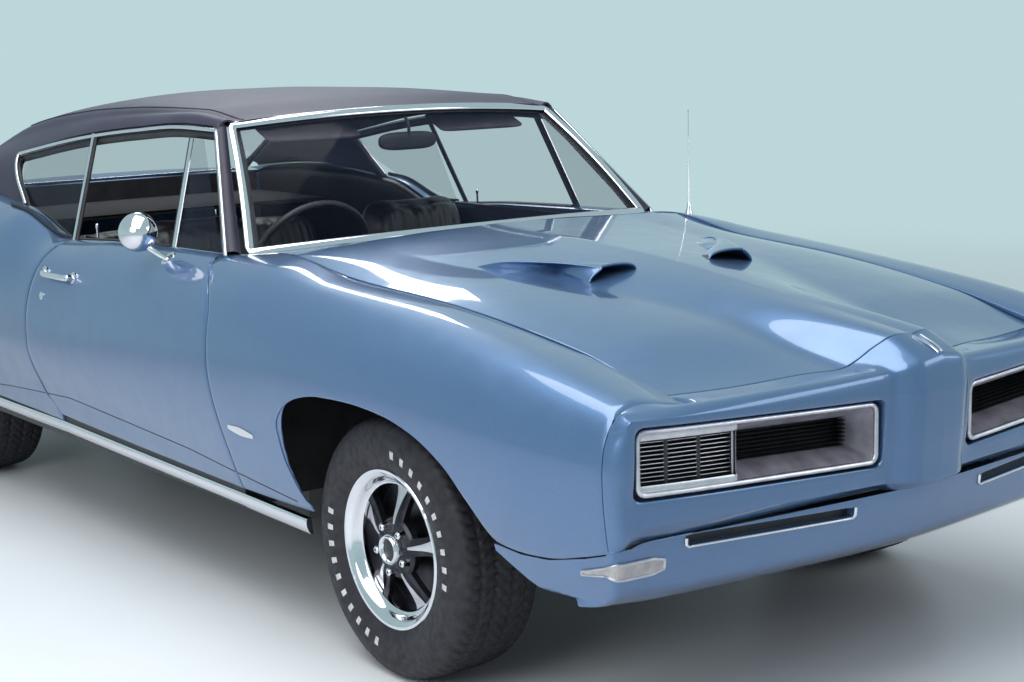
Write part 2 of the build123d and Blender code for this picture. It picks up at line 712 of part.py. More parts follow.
half_tread = TYRE_WIDTH / 2
TYRE_PROFILE = [
    (-96.6, RIM_SEAT_RADIUS + RUNNING_GAP),
    (-96.6, RIM_LIP_RADIUS + 3),
    (-116, RIM_LIP_RADIUS + 10),
    (-half_tread, 248),
    (-half_tread + 8, 300),
    (-half_tread + 24, TYRE_RADIUS - 3),
    (-60, TYRE_RADIUS),
    (60, TYRE_RADIUS),
    (half_tread - 24, TYRE_RADIUS - 3),
    (half_tread - 8, 300),
    (half_tread, 248),
    (116, RIM_LIP_RADIUS + 10),
    (96.6, RIM_LIP_RADIUS + 3),
    (96.6, RIM_SEAT_RADIUS + RUNNING_GAP),
]
RIM_PROFILE = [
    (-RIM_WIDTH / 2, RIM_LIP_RADIUS),
    (-RIM_WIDTH / 2, RIM_SEAT_RADIUS - RIM_WALL),
    (-20, RIM_SEAT_RADIUS - 26),
    (60, RIM_SEAT_RADIUS - 26),
    (RIM_WIDTH / 2, RIM_SEAT_RADIUS - RIM_WALL + 8),
    (RIM_WIDTH / 2 + 3, RIM_LIP_RADIUS),
    (RIM_WIDTH / 2 - 3, RIM_LIP_RADIUS),
    (RIM_WIDTH / 2 - 5, RIM_SEAT_RADIUS),
    (60, RIM_SEAT_RADIUS),
    (44, RIM_SEAT_RADIUS - 18),
    (-20, RIM_SEAT_RADIUS - 18),
    (-60, RIM_SEAT_RADIUS),
    (-RIM_WIDTH / 2 + 4, RIM_SEAT_RADIUS),
    (-RIM_WIDTH / 2 + 3, RIM_LIP_RADIUS),
]
HUB_PROFILE = [
    (SPOKE_FACE - 14, SPINDLE_RADIUS + RUNNING_GAP),
    (SPOKE_FACE - 14, HUB_RADIUS),
    (SPOKE_FACE + 10, HUB_RADIUS),
    (SPOKE_FACE + 16, HUB_CAP_RADIUS),
    (SPOKE_FACE + HUB_CAP_LENGTH, HUB_CAP_RADIUS),
    (SPOKE_FACE + HUB_CAP_LENGTH, 0),
    (SPOKE_FACE + 8, 0),
    (SPOKE_FACE + 8, SPINDLE_RADIUS + RUNNING_GAP),
]

for corner, (side, axle_y) in CORNERS.items():
    with BuildPart() as tyre:
        turned(side, axle_y, TYRE_PROFILE)
    finish(tyre.part, f"tyre_{corner}")

    with BuildPart() as wheel:
        turned(side, axle_y, RIM_PROFILE)
        turned(side, axle_y, HUB_PROFILE)
        with BuildSketch(Plane.YZ.offset(side * (WHEEL_X + SPOKE_FACE) - SPOKE_THICKNESS / 2)) as spokes:
            with Locations((axle_y, TYRE_RADIUS)):
                with PolarLocations((HUB_RADIUS + RIM_SEAT_RADIUS - 20) / 2, SPOKES, start_angle=90):
                    Rectangle(RIM_SEAT_RADIUS - 22 - HUB_RADIUS + 6, SPOKE_WIDTH)
        extrude(spokes.sketch, amount=SPOKE_THICKNESS)
    finish(wheel.part, f"wheel_{corner}")

# ---------------------------------------------------------------- knuckles, front suspension, rear axle
DRUM_FACE = SPOKE_FACE - 16
DRUM_PROFILE = [
    (DRUM_FACE, 0),
    (DRUM_FACE, DRUM_RADIUS - 6),
    (DRUM_FACE - 8, DRUM_RADIUS),
    (DRUM_FACE - DRUM_WIDTH, DRUM_RADIUS),
    (DRUM_FACE - DRUM_WIDTH, 0),
]
SPINDLE_PROFILE = [
    (DRUM_FACE - 10, 0),
    (DRUM_FACE - 10, SPINDLE_RADIUS),
    (SPOKE_FACE + 6, SPINDLE_RADIUS),
    (SPOKE_FACE + 6, 0),
]
KNUCKLE_LOW_Z = 222.0
KNUCKLE_HIGH_Z = 445.0
for name, side in (("left", 1), ("right", -1)):
    with BuildPart() as knuckle:
        turned(side, FRONT_AXLE_Y, DRUM_PROFILE)
        turned(side, FRONT_AXLE_Y, SPINDLE_PROFILE)
        span = sorted((side * (KINGPIN_X - 22), side * (KINGPIN_X + 52)))
        block(tuple(span), (FRONT_AXLE_Y - 34, FRONT_AXLE_Y + 34), (TYRE_RADIUS - 90, TYRE_RADIUS + 80))
        with BuildSketch(Plane.XY.offset(KNUCKLE_LOW_Z)) as post:
            with Locations((side * KINGPIN_X, FRONT_AXLE_Y)):
                Circle(16)
        extrude(post.sketch, amount=KNUCKLE_HIGH_Z - KNUCKLE_LOW_Z)
    finish(knuckle.part, f"knuckle_{name}")

ARM_THICKNESS = 22.0
ARM_INNER_X = 384.0
with BuildPart() as front_suspension:
    for z in (KNUCKLE_LOW_Z - ARM_THICKNESS - SEAT_GAP, KNUCKLE_HIGH_Z + SEAT_GAP):
        arm = [
            (ARM_INNER_X, FRONT_AXLE_Y - 170),
            (KINGPIN_X - 10, FRONT_AXLE_Y - 30),
            (KINGPIN_X + 26, FRONT_AXLE_Y),
            (KINGPIN_X - 10, FRONT_AXLE_Y + 30),
            (ARM_INNER_X, FRONT_AXLE_Y + 170),
            (ARM_INNER_X, FRONT_AXLE_Y + 110),
            (KINGPIN_X - 90, FRONT_AXLE_Y),
            (ARM_INNER_X, FRONT_AXLE_Y - 110),
        ]
        extrude(level(z, arm), amount=ARM_THICKNESS)
    block((ARM_INNER_X - 1, ARM_INNER_X + 18), (FRONT_AXLE_Y - 180, FRONT_AXLE_Y + 180), (199, 480))
    block((-10, ARM_INNER_X + 10), (FRONT_AXLE_Y - 90, FRONT_AXLE_Y + 60), (199, 262))
    mirror(about=Plane.YZ)
finish(front_suspension.part, "front_suspension")

AXLE_TUBE_RADIUS = 38.0
CROSSMEMBER_Y = (640.0, 700.0)
with BuildPart() as rear_axle:
    for side in (-1, 1):
        turned(side, REAR_AXLE_Y, DRUM_PROFILE)
        turned(side, REAR_AXLE_Y, SPINDLE_PROFILE)
    with BuildSketch(Plane.YZ.offset(-WHEEL_X + 40)) as tube:
        with Locations((REAR_AXLE_Y, TYRE_RADIUS)):
            Circle(AXLE_TUBE_RADIUS)
    extrude(tube.sketch, amount=2 * (WHEEL_X - 40))
    block((-125, 125), (REAR_AXLE_Y - 150, REAR_AXLE_Y + 120), (TYRE_RADIUS - 120, TYRE_RADIUS + 115))
    for side in (-1, 1):
        arm_span = sorted((side * 430, side * 475))
        block(tuple(arm_span), (CROSSMEMBER_Y[1] + SEAT_GAP, REAR_AXLE_Y + 20), (240, 300))
finish(rear_axle.part, "rear_axle")

# ---------------------------------------------------------------- frame, floor, firewall
RAIL_WIDTH = 74.0


def rail(points, low, high):
    """Frame rail along a plan line, from its lower to its upper face."""
    with BuildSketch(Plane.XY.offset(low)) as band:
        with BuildLine() as line:
            Polyline(*points)
        trace(line.line, line_width=RAIL_WIDTH)
    extrude(band.sketch, amount=high - low)


FLOOR_Z = 312.0
TRUNK_FLOOR_Z = 520.0
FLOOR_SHEET = 12.0
KICKUP_Y = 735.0
REAR_RAIL_X = 545.0
FRONT_RAIL_X = 345.0
JACK_PAD_X = 640.0
JACK_PAD_Y = (-700.0, 500.0)
JACK_PAD_Z = 220.0
with BuildPart() as frame:
    under_floor = FLOOR_Z - SEAT_GAP
    under_trunk = TRUNK_FLOOR_Z - SEAT_GAP
    rail([(FRONT_RAIL_X, -2240), (FRONT_RAIL_X, -1300)], 300, 400)
    side = [(FRONT_RAIL_X, -1330), (430, -1060), (640, -880), (640, 600), (REAR_RAIL_X, 800)]
    rail(side, 228, under_floor)
    rail([(REAR_RAIL_X, 760), (REAR_RAIL_X, 860)], 228, under_trunk)
    rail([(REAR_RAIL_X, 830), (REAR_RAIL_X, 1700), (520, 2360)], 444, under_trunk)
    block((-380, 380), (-2260, -2190), (330, 400))
    bracket = [(-2250, 345), (-2420.1, 505), (-2420.1, 565), (-2390, 565), (-2240, 400)]
    extrude(upright(330, bracket), amount=30)
    for y in JACK_PAD_Y:
        block((JACK_PAD_X - 35, JACK_PAD_X + 35), (y - 45, y + 45), (JACK_PAD_Z, 229))
    block((-610, 610), (150, 240), (228, 290))
    block((-610, 610), CROSSMEMBER_Y, (228, 290))
    block((-560, 560), (800, 860), (450, under_trunk))
    block((-530, 530), (2300, 2390), (444, under_trunk))
    mirror(about=Plane.YZ)
finish(frame.part, "frame")

TUNNEL = [(-150, FLOOR_Z + 11), (-105, 470), (105, 470), (150, FLOOR_Z + 11)]
TUNNEL_INSIDE = [(-134, FLOOR_Z - 5), (-94, 458), (94, 458), (134, FLOOR_Z - 5)]
with BuildPart() as floor_pan:
    block((-752, 752), (-905, KICKUP_Y), (FLOOR_Z, FLOOR_Z + FLOOR_SHEET))
    block((-752, 752), (KICKUP_Y - FLOOR_SHEET, KICKUP_Y), (FLOOR_Z, TRUNK_FLOOR_Z + FLOOR_SHEET))
    block((-590, 590), (KICKUP_Y - 5, 2400), (TRUNK_FLOOR_Z, TRUNK_FLOOR_Z + FLOOR_SHEET))
    extrude(section(-905, TUNNEL), amount=-(905 + KICKUP_Y - 1))
    extrude(section(-910, TUNNEL_INSIDE), amount=-(910 + KICKUP_Y + 5), mode=Mode.SUBTRACT)
finish(floor_pan.part, "floor_pan")

FIREWALL_Y = (-918.0, -905.4)
FLOOR_TOP_Z = FLOOR_Z + FLOOR_SHEET + SEAT_GAP
with BuildPart() as firewall:
    block((-770, 770), FIREWALL_Y, (FLOOR_Z, 896))
    block((-134, 134), (-930, -900), (FLOOR_Z - 1, 456), Mode.SUBTRACT)
    for side in (-1, 1):
        post_span = tuple(sorted((side * HINGE_POST_X[0], side * HINGE_POST_X[1])))
        block(post_span, HINGE_POST_Y, (FLOOR_TOP_Z, 860))
finish(firewall.part, "firewall")

ROCKER_X = (752.4, 880.0)
with BuildPart() as rockers:
    block(ROCKER_X, (-905, 868), (298, 365))
    block((ROCKER_X[1] - 4, ROCKER_X[1] + 4 - SEAT_GAP), (480, 740), (356, 364))
    block((ROCKER_X[0], ROCKER_X[0] + 14), (-735, 268.4), (300, 400))
    mirror(about=Plane.YZ)
finish(rockers.part, "rockers")

# ---------------------------------------------------------------- wheelhouses and inner trim
with BuildPart() as wheelhouses:
    faces = []
    for y, top in ((-2180, 735), (-930, 845)):
        wall = [(455, 392), (463, 392), (463, top - PANEL)]
        faces.append(section(y, wall + [(780, top - PANEL), (780, top), (455, top)]))
    loft(faces, ruled=True)
    block((450, 470), (FRONT_AXLE_Y - 190, FRONT_AXLE_Y + 190), (380, 490), Mode.SUBTRACT)
    for span in ((-2180, -1800), (-1360, -1200)):
        block((FRONT_RAIL_X + RAIL_WIDTH / 2 + SEAT_GAP, 460), span, (392, 400))
    block((590.4, 600), (900, 1622), (440, 722))
    block((590.4, 896), (900, 1622), (712, 722))
    block((590.4, 880), (900, 909), (450, 722))
    block((590.4, 880), (1613, 1622), (450, 722))
    mirror(about=Plane.YZ)
finish(wheelhouses.part, "wheelhouses")

with BuildPart() as quarter_trim:
    lock_face = [(727, 365 + SEAT_GAP), (866, 365 + SEAT_GAP), (866, 836), (798, 890), (727, 890)]
    extrude(section(416, lock_face), amount=-9)
    block((718, 727.5), (380, 889), (TRUNK_FLOOR_Z + 20, 890))
    mirror(about=Plane.YZ)
finish(quarter_trim.part, "quarter_trim")

# ---------------------------------------------------------------- engine, driveline, exhaust, tank
with BuildPart() as engine:
    block((-285, 285), (-1840, -930), (262.4, 790))
finish(engine.part, "engine")

with BuildPart() as radiator:
    block((-330, 330), (-2256, -2196), (400.4, 736))
finish(radiator.part, "radiator")

SHAFT_Z = 332.0


def lengthwise_rod(x, z, radius, start, end):
    """Round rod along the car."""
    with BuildSketch(Plane.XZ.offset(-start)) as disc:
        with Locations((x, z)):
            Circle(radius)
    extrude(disc.sketch, amount=-(end - start))


with BuildPart() as driveline:
    block((-85, 85), (-929.6, -340), (252, 430))
    lengthwise_rod(0, SHAFT_Z, 36, -345, REAR_AXLE_Y - 150 - SEAT_GAP)
finish(driveline.part, "driveline")

EXHAUST_X = 300.0
with BuildPart() as exhaust:
    lengthwise_rod(EXHAUST_X, 199, 28.6, -1300, 1560)
    lengthwise_rod(EXHAUST_X + 30, 270, 78, 1500, 2060)
    lengthwise_rod(EXHAUST_X + 30, 300, 28.6, 2050, 2430)
    block((EXHAUST_X - 12, EXHAUST_X + 12), (CROSSMEMBER_Y[0], CROSSMEMBER_Y[1]), (222, 227.6))
    mirror(about=Plane.YZ)
finish(exhaust.part, "exhaust")

with BuildPart() as fuel_tank:
    block((-235, 235), (1600, 2260), (370, 519.6))
finish(fuel_tank.part, "fuel_tank")

# ---------------------------------------------------------------- cabin
with BuildPart() as front_seats:
    seat = [(-430, 560), (-430, 600), (60, 590), (150, 1000), (210, 1010), (270, 985), (170, 480)]
    seat += [(120, FLOOR_TOP_Z), (-330, FLOOR_TOP_Z), (-380, 470)]
    extrude(upright(175, seat), amount=505)
    mirror(about=Plane.YZ)
finish(front_seats.part, "front_seats")

with BuildPart() as rear_seat:
    step = KICKUP_Y - FLOOR_SHEET - SEAT_GAP
    over = TRUNK_FLOOR_Z + FLOOR_SHEET + SEAT_GAP
    bench = [(470, FLOOR_TOP_Z), (440, 590), (470, 625), (900, 590), (985, 880), (1060, 892), (1085, 870)]
    bench += [(1060, over), (step, over), (step, FLOOR_TOP_Z)]
    extrude(upright(-580, bench), amount=1160)
    block((-151, 151), (400, step + 5), (300, 471), Mode.SUBTRACT)
finish(rear_seat.part, "rear_seat")

DRIVER_X = -380.0
WHEEL_CENTRE = (DRIVER_X, -463.0, 879.0)
COLUMN_TILT = math.radians(25)
COLUMN_AXIS = (0, math.cos(COLUMN_TILT), math.sin(COLUMN_TILT))
COLUMN_RADIUS = 22.0
COLUMN_TOP = 18.0
COLUMN_LENGTH = 459.2
HAND_RADIUS = 200.0
COLUMN_PLANE = Plane(origin=WHEEL_CENTRE, x_dir=(1, 0, 0), z_dir=COLUMN_AXIS)
with BuildPart() as dashboard:
    pad = [(-905, 740), (-905, 880), (-850, 880), (-850, 930), (-781, 930), (-779, 950), (-650, 950)]
    pad += [(-600, 915), (-600, 860), (-660, 740)]
    extrude(upright(-690, pad), amount=1380)
    with BuildSketch(COLUMN_PLANE.offset(-COLUMN_LENGTH - 80)) as channel:
        Circle(COLUMN_RADIUS + 10)
    extrude(channel.sketch, amount=COLUMN_LENGTH, mode=Mode.SUBTRACT)
finish(dashboard.part, "dashboard")

with BuildPart() as steering_column:
    with BuildSketch(COLUMN_PLANE.offset(-COLUMN_TOP)) as tube_end:
        Circle(COLUMN_RADIUS)
    extrude(tube_end.sketch, amount=-COLUMN_LENGTH)
finish(steering_column.part, "steering_column")

with BuildPart() as steering_wheel:
    with BuildSketch(COLUMN_PLANE.offset(-COLUMN_TOP + SEAT_GAP)) as boss:
        Circle(34)
    extrude(boss.sketch, amount=34)
    with BuildSketch(COLUMN_PLANE.offset(-6)) as arms:
        with PolarLocations((HAND_RADIUS + 20) / 2, 3, start_angle=90):
            Rectangle(HAND_RADIUS - 20, 26)
    extrude(arms.sketch, amount=8)
    with Locations(COLUMN_PLANE):
        Torus(HAND_RADIUS, 12)
finish(steering_wheel.part, "steering_wheel")

# ---------------------------------------------------------------- mirror, handles, antenna
HANDLE_Y = (70.0, 300.0)
HANDLE_Z = (820.0, 842.0)
HANDLE_STAND = 922.0


def skin_x(y, z):
    """Half width of the body side at y and z."""
    chain = side_chain(y)[1:]
    for (x_high, z_high), (x_low, z_low) in zip(chain, chain[1:]):
        if z_low <= z <= z_high:
            return x_low + (x_high - x_low) * (z - z_low) / (z_high - z_low)
    return chain[-1][0]


def handle_section(y, clearance):
    """Section of a door handle that keeps a clearance to the skin."""
    low, high = HANDLE_Z
    return [
        (skin_x(y, high) + clearance, high),
        (HANDLE_STAND, high),
        (HANDLE_STAND, low),
        (skin_x(y, low) + clearance, low),
    ]


with BuildPart() as door_handle_left:
    start, end = HANDLE_Y
    loft([section(y, handle_section(y, SEAT_GAP)) for y in (start, start + 34)], ruled=True)
    loft([section(y, handle_section(y, SEAT_GAP)) for y in (end - 34, end)], ruled=True)
    block((HANDLE_STAND - 8, HANDLE_STAND), HANDLE_Y, HANDLE_Z)
finish(door_handle_left.part, "door_handle_left")
with BuildPart() as door_handle_right:
    mirror(door_handle_left.part, about=Plane.YZ)
finish(door_handle_right.part, "door_handle_right")

MIRROR_RADIUS = 57.0
MIRROR_PLACE = (-890.0, -372.0, 1006.0)
with BuildPart() as door_mirror:
    with BuildSketch(Plane.XZ.offset(-MIRROR_PLACE[1])) as head_disc:
        with Locations((MIRROR_PLACE[0], MIRROR_PLACE[2])):
            Circle(MIRROR_RADIUS)
    extrude(head_disc.sketch, amount=34, taper=18)
    base = [(-776, -500), (-800, -500), (-800, -440), (-776, -440)]
    neck = [(-866, -404), (-890, -404), (-890, -382), (-866, -382)]
    loft([level(947.8, base), level(985, neck)], ruled=True)
finish(door_mirror.part, "door_mirror")

ANTENNA_PLACE = (785.0, -885.0)
with BuildPart() as antenna:
    for radius, low, high in ((14, 958.2, 976), (3, 970, 1290)):
        with BuildSketch(Plane.XY.offset(low)) as mast:
            with Locations(ANTENNA_PLACE):
                Circle(radius)
        extrude(mast.sketch, amount=high - low)
finish(antenna.part, "antenna")
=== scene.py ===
# %% [markdown]
# # A two-door muscle car of the late 1960s
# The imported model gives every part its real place. This file dresses it: smooth panels over the
# plain solids, paint, vinyl, chrome, rubber and glass. Lengths are in metres, X runs across the
# car, Y along it with the nose at -Y, and Z is up.

# %% Load the frame
import json
import math

import bmesh
import bpy
import numpy as np
from mathutils import Matrix, Vector


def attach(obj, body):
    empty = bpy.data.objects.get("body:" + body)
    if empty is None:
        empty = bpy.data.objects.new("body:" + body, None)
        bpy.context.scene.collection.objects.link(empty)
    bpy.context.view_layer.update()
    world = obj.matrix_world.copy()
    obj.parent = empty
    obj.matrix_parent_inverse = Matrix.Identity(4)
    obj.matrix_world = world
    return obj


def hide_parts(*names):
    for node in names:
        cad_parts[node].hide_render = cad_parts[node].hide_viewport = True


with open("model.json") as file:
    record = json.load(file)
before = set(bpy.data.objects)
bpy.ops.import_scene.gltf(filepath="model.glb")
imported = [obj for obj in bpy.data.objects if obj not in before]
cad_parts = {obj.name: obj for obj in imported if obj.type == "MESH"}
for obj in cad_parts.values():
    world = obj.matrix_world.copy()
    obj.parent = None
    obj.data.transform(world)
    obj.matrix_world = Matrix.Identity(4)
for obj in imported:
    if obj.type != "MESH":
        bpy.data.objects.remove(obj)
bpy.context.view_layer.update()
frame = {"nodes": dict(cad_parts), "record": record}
NODES = frame["nodes"]

# %% [markdown]
# ## The camera
# A camera has a place, three turns and a lens. It could be aimed with a Track To constraint, but
# a plain matrix built from yaw, pitch and roll says the same in four lines and stays exact.

# %% Camera
CAMERA_PLACE = Vector((-3.1597, -5.0791, 1.5555))
CAMERA_YAW, CAMERA_PITCH, CAMERA_ROLL = 0.6542, -0.1725, -0.0238
LENS_MM = 62.86


def camera_axes(yaw, pitch, roll):
    """Right, up and forward: forward turns by yaw about Z and tips by pitch, then all roll about it."""
    forward = Vector((math.sin(yaw) * math.cos(pitch), math.cos(yaw) * math.cos(pitch), math.sin(pitch)))
    right = forward.cross(Vector((0, 0, 1))).normalized()
    up = right.cross(forward)
    turned_right = right * math.cos(roll) + up * math.sin(roll)
    turned_up = up * math.cos(roll) - right * math.sin(roll)
    return turned_right, turned_up, forward


right, up, forward = camera_axes(CAMERA_YAW, CAMERA_PITCH, CAMERA_ROLL)
camera_data = bpy.data.cameras.new("camera")
camera_data.lens = LENS_MM
camera_data.sensor_width = 36.0
camera = bpy.data.objects.new("camera", camera_data)
turn = Matrix((right, up, -forward)).transposed().to_4x4()
camera.matrix_world = Matrix.Translation(CAMERA_PLACE) @ turn
bpy.context.scene.collection.objects.link(camera)
bpy.context.scene.camera = camera
bpy.context.scene.view_settings.view_transform = "Standard"
print("camera at", tuple(round(v, 3) for v in CAMERA_PLACE))

# %% [markdown]
# ## Curves and grids
# A car's panel is a smooth sheet. It could be pulled from a cube by hand, but a sheet that is
# worked out from a few measured sections can be cut anywhere along a panel gap and still line up
# with its neighbour. Three small tools do it: a line that flows through stations, a set of
# weights that rounds a section, and a builder that turns arrays of points into a mesh.

# %% Curve tools


def flow(stations, values, at):
    """Smooth line through a table. Each piece is a cubic whose end slopes are the harmonic mean
    of the slopes on both sides of the station, so the line never swings past a value."""
    stations = np.asarray(stations, float)
    values = np.asarray(values, float).reshape(len(stations), -1)
    step = np.diff(stations)[:, None]
    slope = np.diff(values, axis=0) / step
    product = slope[:-1] * slope[1:]
    total = slope[:-1] + slope[1:]
    inner = np.where(product > 0, 2 * product / np.where(total == 0, 1, total), 0)
    tangent = np.vstack([slope[:1], inner, slope[-1:]])
    at = np.clip(np.asarray(at, float), stations[0], stations[-1])
    index = np.clip(np.searchsorted(stations, at, side="right") - 1, 0, len(stations) - 2)
    width = step[index, 0][..., None]
    u = ((at - stations[index]) / step[index, 0])[..., None]
    start, end = values[index], values[index + 1]
    first, last = tangent[index] * width, tangent[index + 1] * width
    return (
        (2 * u**3 - 3 * u**2 + 1) * start
        + (u**3 - 2 * u**2 + u) * first
        + (3 * u**2 - 2 * u**3) * end
        + (u**3 - u**2) * last
    )


def spline_weights(knots, at):
    """Weights of a natural cubic spline: row by row, how much each control value counts at each
    place, found by solving the spline once for every control value set to one."""
    knots = np.asarray(knots, float)
    count = len(knots)
    gap = np.diff(knots)
    system = np.eye(count)
    right_side = np.zeros((count, count))
    for k in range(1, count - 1):
        system[k, k - 1 : k + 2] = gap[k - 1], 2 * (gap[k - 1] + gap[k]), gap[k]
        right_side[k, k - 1 : k + 2] = 6 / gap[k - 1], -6 / gap[k - 1] - 6 / gap[k], 6 / gap[k]
    bend = np.linalg.solve(system, right_side)
    at = np.asarray(at, float)
    index = np.clip(np.searchsorted(knots, at, side="right") - 1, 0, count - 2)
    width = gap[index]
    after = (at - knots[index]) / width
    before = 1 - after
    value = np.eye(count)
    scale = (width**2 / 6)[..., None]
    return (
        before[..., None] * value[index]
        + after[..., None] * value[index + 1]
        + ((before**3 - before)[..., None] * bend[index] + (after**3 - after)[..., None] * bend[index + 1]) * scale
    )


def traced(points, at):
    """Smooth line through points, at fractions of its length."""
    points = np.asarray(points, float)
    points = points[np.r_[True, np.linalg.norm(np.diff(points, axis=0), axis=1) > 1e-6]]
    length = np.r_[0, np.cumsum(np.linalg.norm(np.diff(points, axis=0), axis=1))]
    return flow(length, points, np.asarray(at, float) * length[-1])


def join(*parts):
    """Coordinates put together as points, each spread over the others' shape first."""
    return np.stack(np.broadcast_arrays(*parts), -1)


def unit(vectors):
    """The same directions with length one."""
    return vectors / np.maximum(np.linalg.norm(vectors, axis=-1, keepdims=True), 1e-12)


def normals(points, outward):
    """Square to a grid at each point, on the side that the outward direction names."""
    normal = unit(np.cross(np.gradient(points, axis=0), np.gradient(points, axis=1)))
    return normal * np.sign((normal * np.asarray(outward, float)).sum())


def hem(points, outward, radius=0.002, depth=(0.012, 0.012, 0.012, 0.012)):
    """Rolls the rim of a panel over. Three rings are added round the grid: each steps outwards along
    the sheet and down from it, along a quarter circle and then straight to the depth of the first
    row's side, the last row's, the first column's and the last column's."""
    rows, columns = points.shape[:2]
    normal = normals(points, outward)
    row, column = np.arange(-3, rows + 3), np.arange(-3, columns + 3)
    in_row, in_column = row.clip(0, rows - 1), column.clip(0, columns - 1)
    row_ring, column_ring = abs(row - in_row)[:, None], abs(column - in_column)[None]
    ring = np.maximum(row_ring, column_ring)
    base, square = points[in_row][:, in_column], normal[in_row][:, in_column]
    row_way = unit(np.stack([points[0] - points[1], points[-1] - points[-2]]))[:, in_column]
    column_way = unit(np.stack([points[:, 0] - points[:, 1], points[:, -1] - points[:, -2]], 1))[in_row]
    row_way = np.where((row < 0)[:, None, None], row_way[:1], row_way[1:])
    column_way = np.where((column < 0)[None, :, None], column_way[:, :1], column_way[:, 1:])
    step = np.array([0, 0.7, 1, 1]) * radius
    fall = np.where((row < 0)[:, None], depth[0], depth[1])
    side_fall = np.where((column < 0)[None], depth[2], depth[3])
    deep = np.where(row_ring >= column_ring, fall, side_fall)
    drop = np.choose(ring, [0 * deep, 0 * deep + 0.3 * radius, 0 * deep + radius, deep])
    out = step[row_ring][..., None] * row_way + step[column_ring][..., None] * column_way
    return base + out - drop[..., None] * square


def coons(top, bottom, front, rear, s, v):
    """Patch in two coordinates from its four edges: the two ruled surfaces between opposite edges
    added together, less the flat one through the corners."""
    s, v = s[:, None, None], v[None, :, None]
    ruled = (1 - v) * top[:, None] + v * bottom[:, None] + (1 - s) * front[None] + s * rear[None]
    corners = (1 - s) * (1 - v) * top[0] + (1 - s) * v * bottom[0] + s * (1 - v) * top[-1] + s * v * bottom[-1]
    return ruled - corners


def edge_of(grid):
    """The closed rim of a grid, from the first row round."""
    return np.concatenate([grid[0, :-1], grid[:-1, -1], grid[-1, :0:-1], grid[:0:-1, 0]])


def within(span, inset, other=None):
    """A span drawn in by the inset at both ends, or by another value at its second end."""
    return span[0] + inset, span[1] - (inset if other is None else other)


print("flow midway", flow([0, 1, 2], [0, 1, 1], 0.5).round(3))

# %% Mesh builder
WELD, SLIVER = 1e-5, 1e-6
SHEET = 0.0015
SIDES = (("left", 1), ("right", -1))


def evaluated(made):
    """A new mesh of an object with its modifiers worked in."""
    bpy.context.view_layer.update()
    return bpy.data.meshes.new_from_object(made.evaluated_get(bpy.context.evaluated_depsgraph_get()))


class Mesh:
    """Collects grids of points as faces, then makes one mesh object."""

    def __init__(self):
        self.points = []
        self.faces = []
        self.count = 0

    def grid(self, points, keep=None, close_rows=False, close_columns=False, away=None):
        """Quads between neighbouring points. away is a point or an array inside the surface, and
        the quads turn so that they face away from it."""
        points = np.asarray(points, float)
        rows, columns = points.shape[:2]
        number = np.arange(rows * columns).reshape(rows, columns)
        if close_rows:
            number = np.vstack([number, number[:1]])
        if close_columns:
            number = np.hstack([number, number[:, :1]])
        quads = join(number[:-1, :-1], number[1:, :-1], number[1:, 1:], number[:-1, 1:])
        if keep is not None:
            quads = quads[keep]
        quads = quads.reshape(-1, 4)
        flat = points.reshape(-1, 3)
        if away is not None:
            across = flat[quads[:, 2]] - flat[quads[:, 0]]
            along = flat[quads[:, 3]] - flat[quads[:, 1]]
            normal = np.cross(across, along)
            middle = flat[quads].mean(1)
            if (normal * (middle - np.asarray(away, float))).sum() < 0:
                quads = quads[:, ::-1]
        self.points.append(flat)
        self.faces.append(quads + self.count)
        self.count += len(flat)
        return self

    def outward(self):
        """Turns the last grid's faces when the volume that they enclose comes out negative."""
        points, quads = self.points[-1], self.faces[-1] - (self.count - len(self.points[-1]))
        a, b, c, d = (points[quads[:, k]] for k in range(4))
        if (np.cross(a, b) * c).sum() + (np.cross(a, c) * d).sum() < 0:
            self.faces[-1] = self.faces[-1][:, ::-1]
        return self

    def tube(self, points, close_rows=False):
        """A closed form: the columns of the grid meet again, and its faces look outwards."""
        return self.grid(points, close_rows=close_rows, close_columns=True).outward()

    def mirrored(self):
        """Adds the other side of the car."""
        points, faces = np.vstack(self.points), np.vstack(self.faces)
        self.points.append(points * (-1, 1, 1))
        self.faces.append(faces[:, ::-1] + self.count)
        self.count += len(points)
        return self

    def object(self, name, sharp=35.0, thickness=0.0):
        """One object, welded and smooth, with edges over the sharp angle kept crisp. A thickness
        is added on the inside by Solidify and applied."""
        mesh = bpy.data.meshes.new(name)
        mesh.from_pydata(np.vstack(self.points).tolist(), [], np.vstack(self.faces).tolist())
        mesh.validate()
        work = bmesh.new()
        work.from_mesh(mesh)
        bmesh.ops.remove_doubles(work, verts=work.verts, dist=WELD)
        bmesh.ops.dissolve_degenerate(work, edges=work.edges, dist=SLIVER)
        work.to_mesh(mesh)
        work.free()
        made = bpy.data.objects.new(name, mesh)
        bpy.context.scene.collection.objects.link(made)
        if thickness:
            wall = made.modifiers.new("wall", "SOLIDIFY")
            wall.thickness = thickness
            wall.offset = -1
            solid = evaluated(made)
            made.modifiers.clear()
            made.data = solid
            solid.name = name
            bpy.data.meshes.remove(mesh)
            mesh = solid
        mesh.polygons.foreach_set("use_smooth", np.ones(len(mesh.polygons), bool))
        mesh.set_sharp_from_angle(angle=math.radians(sharp))
        return made


